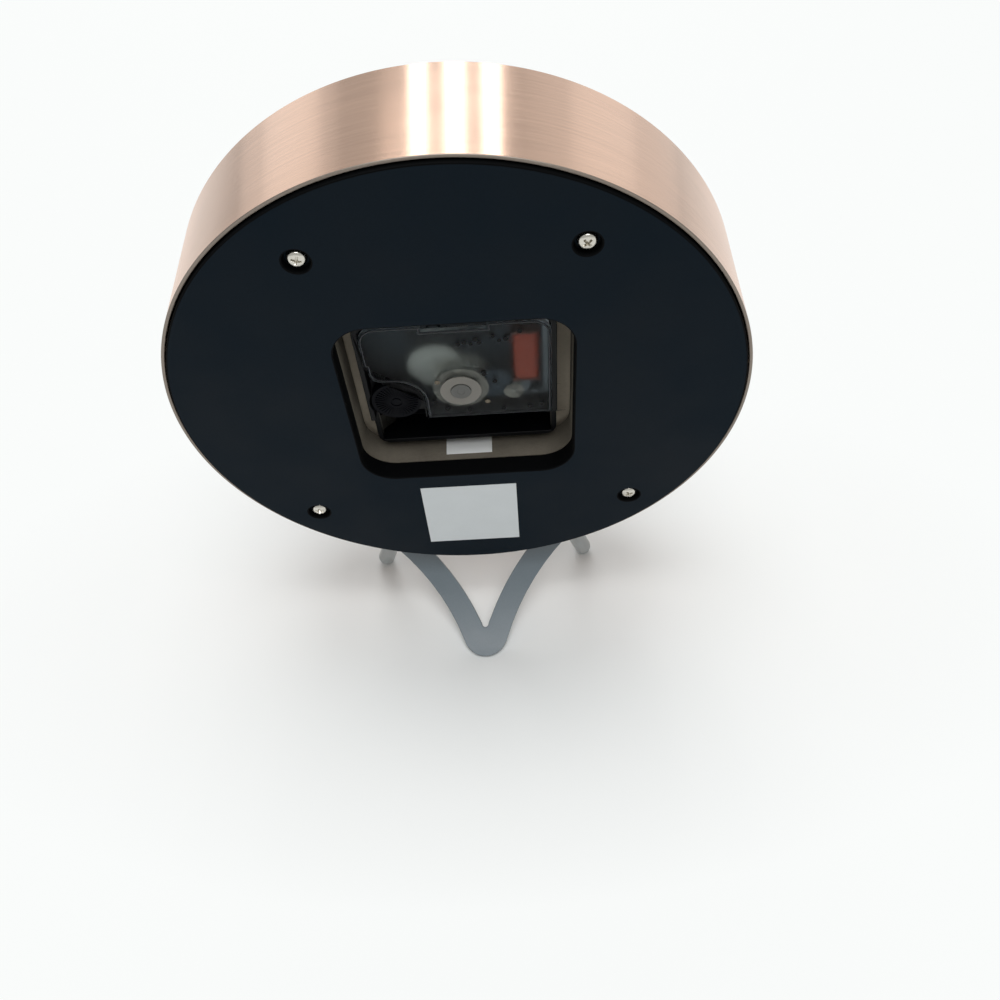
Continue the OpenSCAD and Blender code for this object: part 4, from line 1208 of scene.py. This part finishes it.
@dataclass
class Studio:
    """White floor, soft light and the camera of the photographed view.

    Attributes:
        shop: Workshop that holds the bench frame.
        band_radius: Radius of the band in bench millimetres.
        band_middle: Depth at which the band mirrors the lamps, in bench millimetres.
        target: Point that the large lamps face.
        boxes: Large lamps, which light the floor and the clock.
        glints: Lamps that show as streaks on the band.
        camera_at: Place of the camera in metres.
        camera_turn: Turn of the camera in degrees.
        lens_mm: Focal length of the camera.
        sensor_mm: Width of its sensor.
        clip: Nearest and farthest distance that the camera shows, in metres.
        floor_half: Half the floor's width in metres.
        mottle_mm: Size of the floor's mottle.
        shadow_wide: Width of the shadow on the floor, as a multiple of its depth.
        shadow_from: Distance from the clock up to which the floor shows its shadow alone, in metres.
        shadow_to: Distance at which the shadow has faded out.
        paper_glow: Share of the floor beyond the shadow that shows its own white to the camera.
        lit_to: Distance from which that share grows.
        white_from: Distance from which the floor is as white as the wall.
        room: Light of the room as metal and glass show it.
        fill: Light of the room that falls on everything.
    """

    shop: Workshop
    band_radius: float = BAND_RADIUS
    band_middle: float = 18.0
    target: Triple = (0.0, 0.0, 0.1)
    boxes: tuple[Softbox, ...] = (
        Softbox("overhead", (0.0, 0.06, 1.0), 0.9, 0.9, 3.8, 1.4),
        Softbox("behind", (-0.1, 0.5, 0.86), 0.8, 0.8, 3.8, 1.5),
        Softbox("front", (0.2, -0.9, 0.42), 0.8, 0.8, 3.0, 1.7, mirrored=False))
    glints: tuple[Glint, ...] = (
        Glint("strip_left", -2.0, 3.9, 3.6, Outline.OBLONG),
        Glint("strip_middle", 3.9, 4.5, 3.6, Outline.OBLONG),
        Glint("strip_right", 9.8, 4.1, 3.6, Outline.OBLONG),
        Glint("side_left", -25.0, 22.0, 0.32), Glint("core_left", -24.0, 13.0, 0.27),
        Glint("side_right", 30.0, 36.0, 0.3), Glint("core_right", 29.0, 15.0, 0.2),
        Glint("edge_left", -80.0, 24.0, 1.9), Glint("edge_right", 81.0, 24.0, 1.9))
    camera_at: Triple = (-0.01597, 0.22595, 0.29238)
    camera_turn: Triple = (43.1069, 3.1281, 178.5912)
    lens_mm: float = 34.38
    sensor_mm: float = 36.0
    clip: tuple[float, float] = (0.01, 50.0)
    floor_half: float = 6.0
    mottle_mm: float = 60.0
    shadow_wide: float = 1.8
    shadow_from: float = 0.035
    shadow_to: float = 0.12
    paper_glow: float = 0.9
    lit_to: float = 0.7
    white_from: float = 1.8
    room: float = 0.58
    fill: float = 0.15

    def build(self) -> None:
        """Sets up the world, the floor, the lamps and the camera."""
        bpy.context.scene.view_settings.view_transform = "Standard"
        self.world()
        self.floor()
        for box in self.boxes:
            box.hang(Vector(self.target))
        for glint in self.glints:
            glint.hang(self.shop, self.band_radius, self.band_middle, Vector(self.camera_at))
        self.camera()

    def seen(self, tree: NodeTree) -> NodeSocket:
        """Tells rays of the camera, of reflections and through glass from those that only light.

        Args:
            tree: Node tree to add to.

        Returns:
            One where the ray shows the surface, zero where it only lights.
        """
        path = add(tree, "LightPath")
        first = add(tree, "Math", {0: path.outputs["Is Camera Ray"], 1: path.outputs["Is Glossy Ray"]},
                    operation="MAXIMUM")
        both = add(tree, "Math", {0: first.outputs[0], 1: path.outputs["Is Transmission Ray"]},
                   operation="MAXIMUM")
        return both.outputs[0]

    def world(self) -> None:
        """Surrounds the clock with even light, which shows as a pale wall."""
        world = bpy.data.worlds.new("white_room")
        bpy.context.scene.world = world
        world.use_nodes = True
        tree = world.node_tree
        tree.nodes.clear()
        path = add(tree, "LightPath")
        shown = add(tree, "MapRange", {"Value": self.seen(tree), "To Min": self.fill, "To Max": self.room})
        strength = add(tree, "MapRange", {"Value": path.outputs["Is Camera Ray"], "To Min": shown.outputs[0],
                                          "To Max": 1.0})
        light = add(tree, "Background", {"Color": linear(WALL_WHITE), "Strength": strength.outputs[0]})
        add(tree, "OutputWorld", {"Surface": light.outputs[0]})

    def floor(self) -> None:
        """Lays a white paper floor, faintly mottled, whose glow to the camera is held back in an oval around
        the clock: painted shade there, on top of its real shadow.
        """
        bm = bmesh.new()
        bmesh.ops.create_grid(bm, x_segments=8, y_segments=8, size=self.floor_half)
        mesh = bpy.data.meshes.new("paper_floor")
        bm.to_mesh(mesh)
        bm.free()
        floor = bpy.data.objects.new("paper_floor", mesh)
        bpy.context.scene.collection.objects.link(floor)
        paper = bpy.data.materials.new("paper_roll_white")
        paper.use_nodes = True
        tree = paper.node_tree
        tree.nodes.clear()
        place = add(tree, "TexCoord").outputs["Object"]
        mottle = add(tree, "TexNoise", {"Vector": place, "Scale": scale_of(self.mottle_mm), "Detail": 3.0})
        dark, pale = map(linear, FLOOR_TONES)
        tone = add(tree, "Mix", {0: mottle.outputs["Fac"], 6: dark, 7: pale}, data_type="RGBA")
        lit = add(tree, "BsdfDiffuse", {"Color": tone.outputs[2]})
        glow = add(tree, "Emission", {"Color": linear(WALL_WHITE), "Strength": 1.0})
        # Painted shade: the glow share is zero in an oval around the clock and grows with distance from it
        oval = add(tree, "Mapping", {"Vector": place, "Scale": (1 / self.shadow_wide, 1.0, 1.0)})
        away = add(tree, "VectorMath", {0: oval.outputs["Vector"]}, operation="LENGTH")
        near = add(tree, "MapRange", {"Value": away.outputs["Value"], "From Min": self.shadow_from,
                                      "From Max": self.shadow_to, "To Max": self.paper_glow})
        white = add(tree, "MapRange", {"Value": away.outputs["Value"], "From Min": self.lit_to,
                                       "From Max": self.white_from, "To Min": near.outputs[0]})
        share = add(tree, "Math", {0: self.seen(tree), 1: white.outputs[0]}, operation="MULTIPLY")
        mixed = add(tree, "MixShader", {0: share.outputs[0], 1: lit.outputs[0], 2: glow.outputs[0]})
        add(tree, "OutputMaterial", {"Surface": mixed.outputs[0]})
        mesh.materials.append(paper)

    def camera(self) -> None:
        """Puts the camera where the photographed view was taken from."""
        data = bpy.data.cameras.new("view_camera")
        data.sensor_width, data.lens = self.sensor_mm, self.lens_mm
        data.clip_start, data.clip_end = self.clip
        made = bpy.data.objects.new("view_camera", data)
        made.location = self.camera_at
        made.rotation_euler = [math.radians(a) for a in self.camera_turn]
        bpy.context.scene.collection.objects.link(made)
        bpy.context.scene.camera = made


def main() -> None:
    """Loads the frame and builds every sub-assembly."""
    logging.basicConfig(level=logging.INFO, format="%(name)s %(message)s")
    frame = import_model()
    shop = Workshop.open(frame)
    for kind in (CaseDrum, BackPaper, Legs, Movement, DialFront, Studio):
        kind(shop).build()
        LOG.info("%s is done", kind.__name__)


if __name__ == "__main__":
    main()
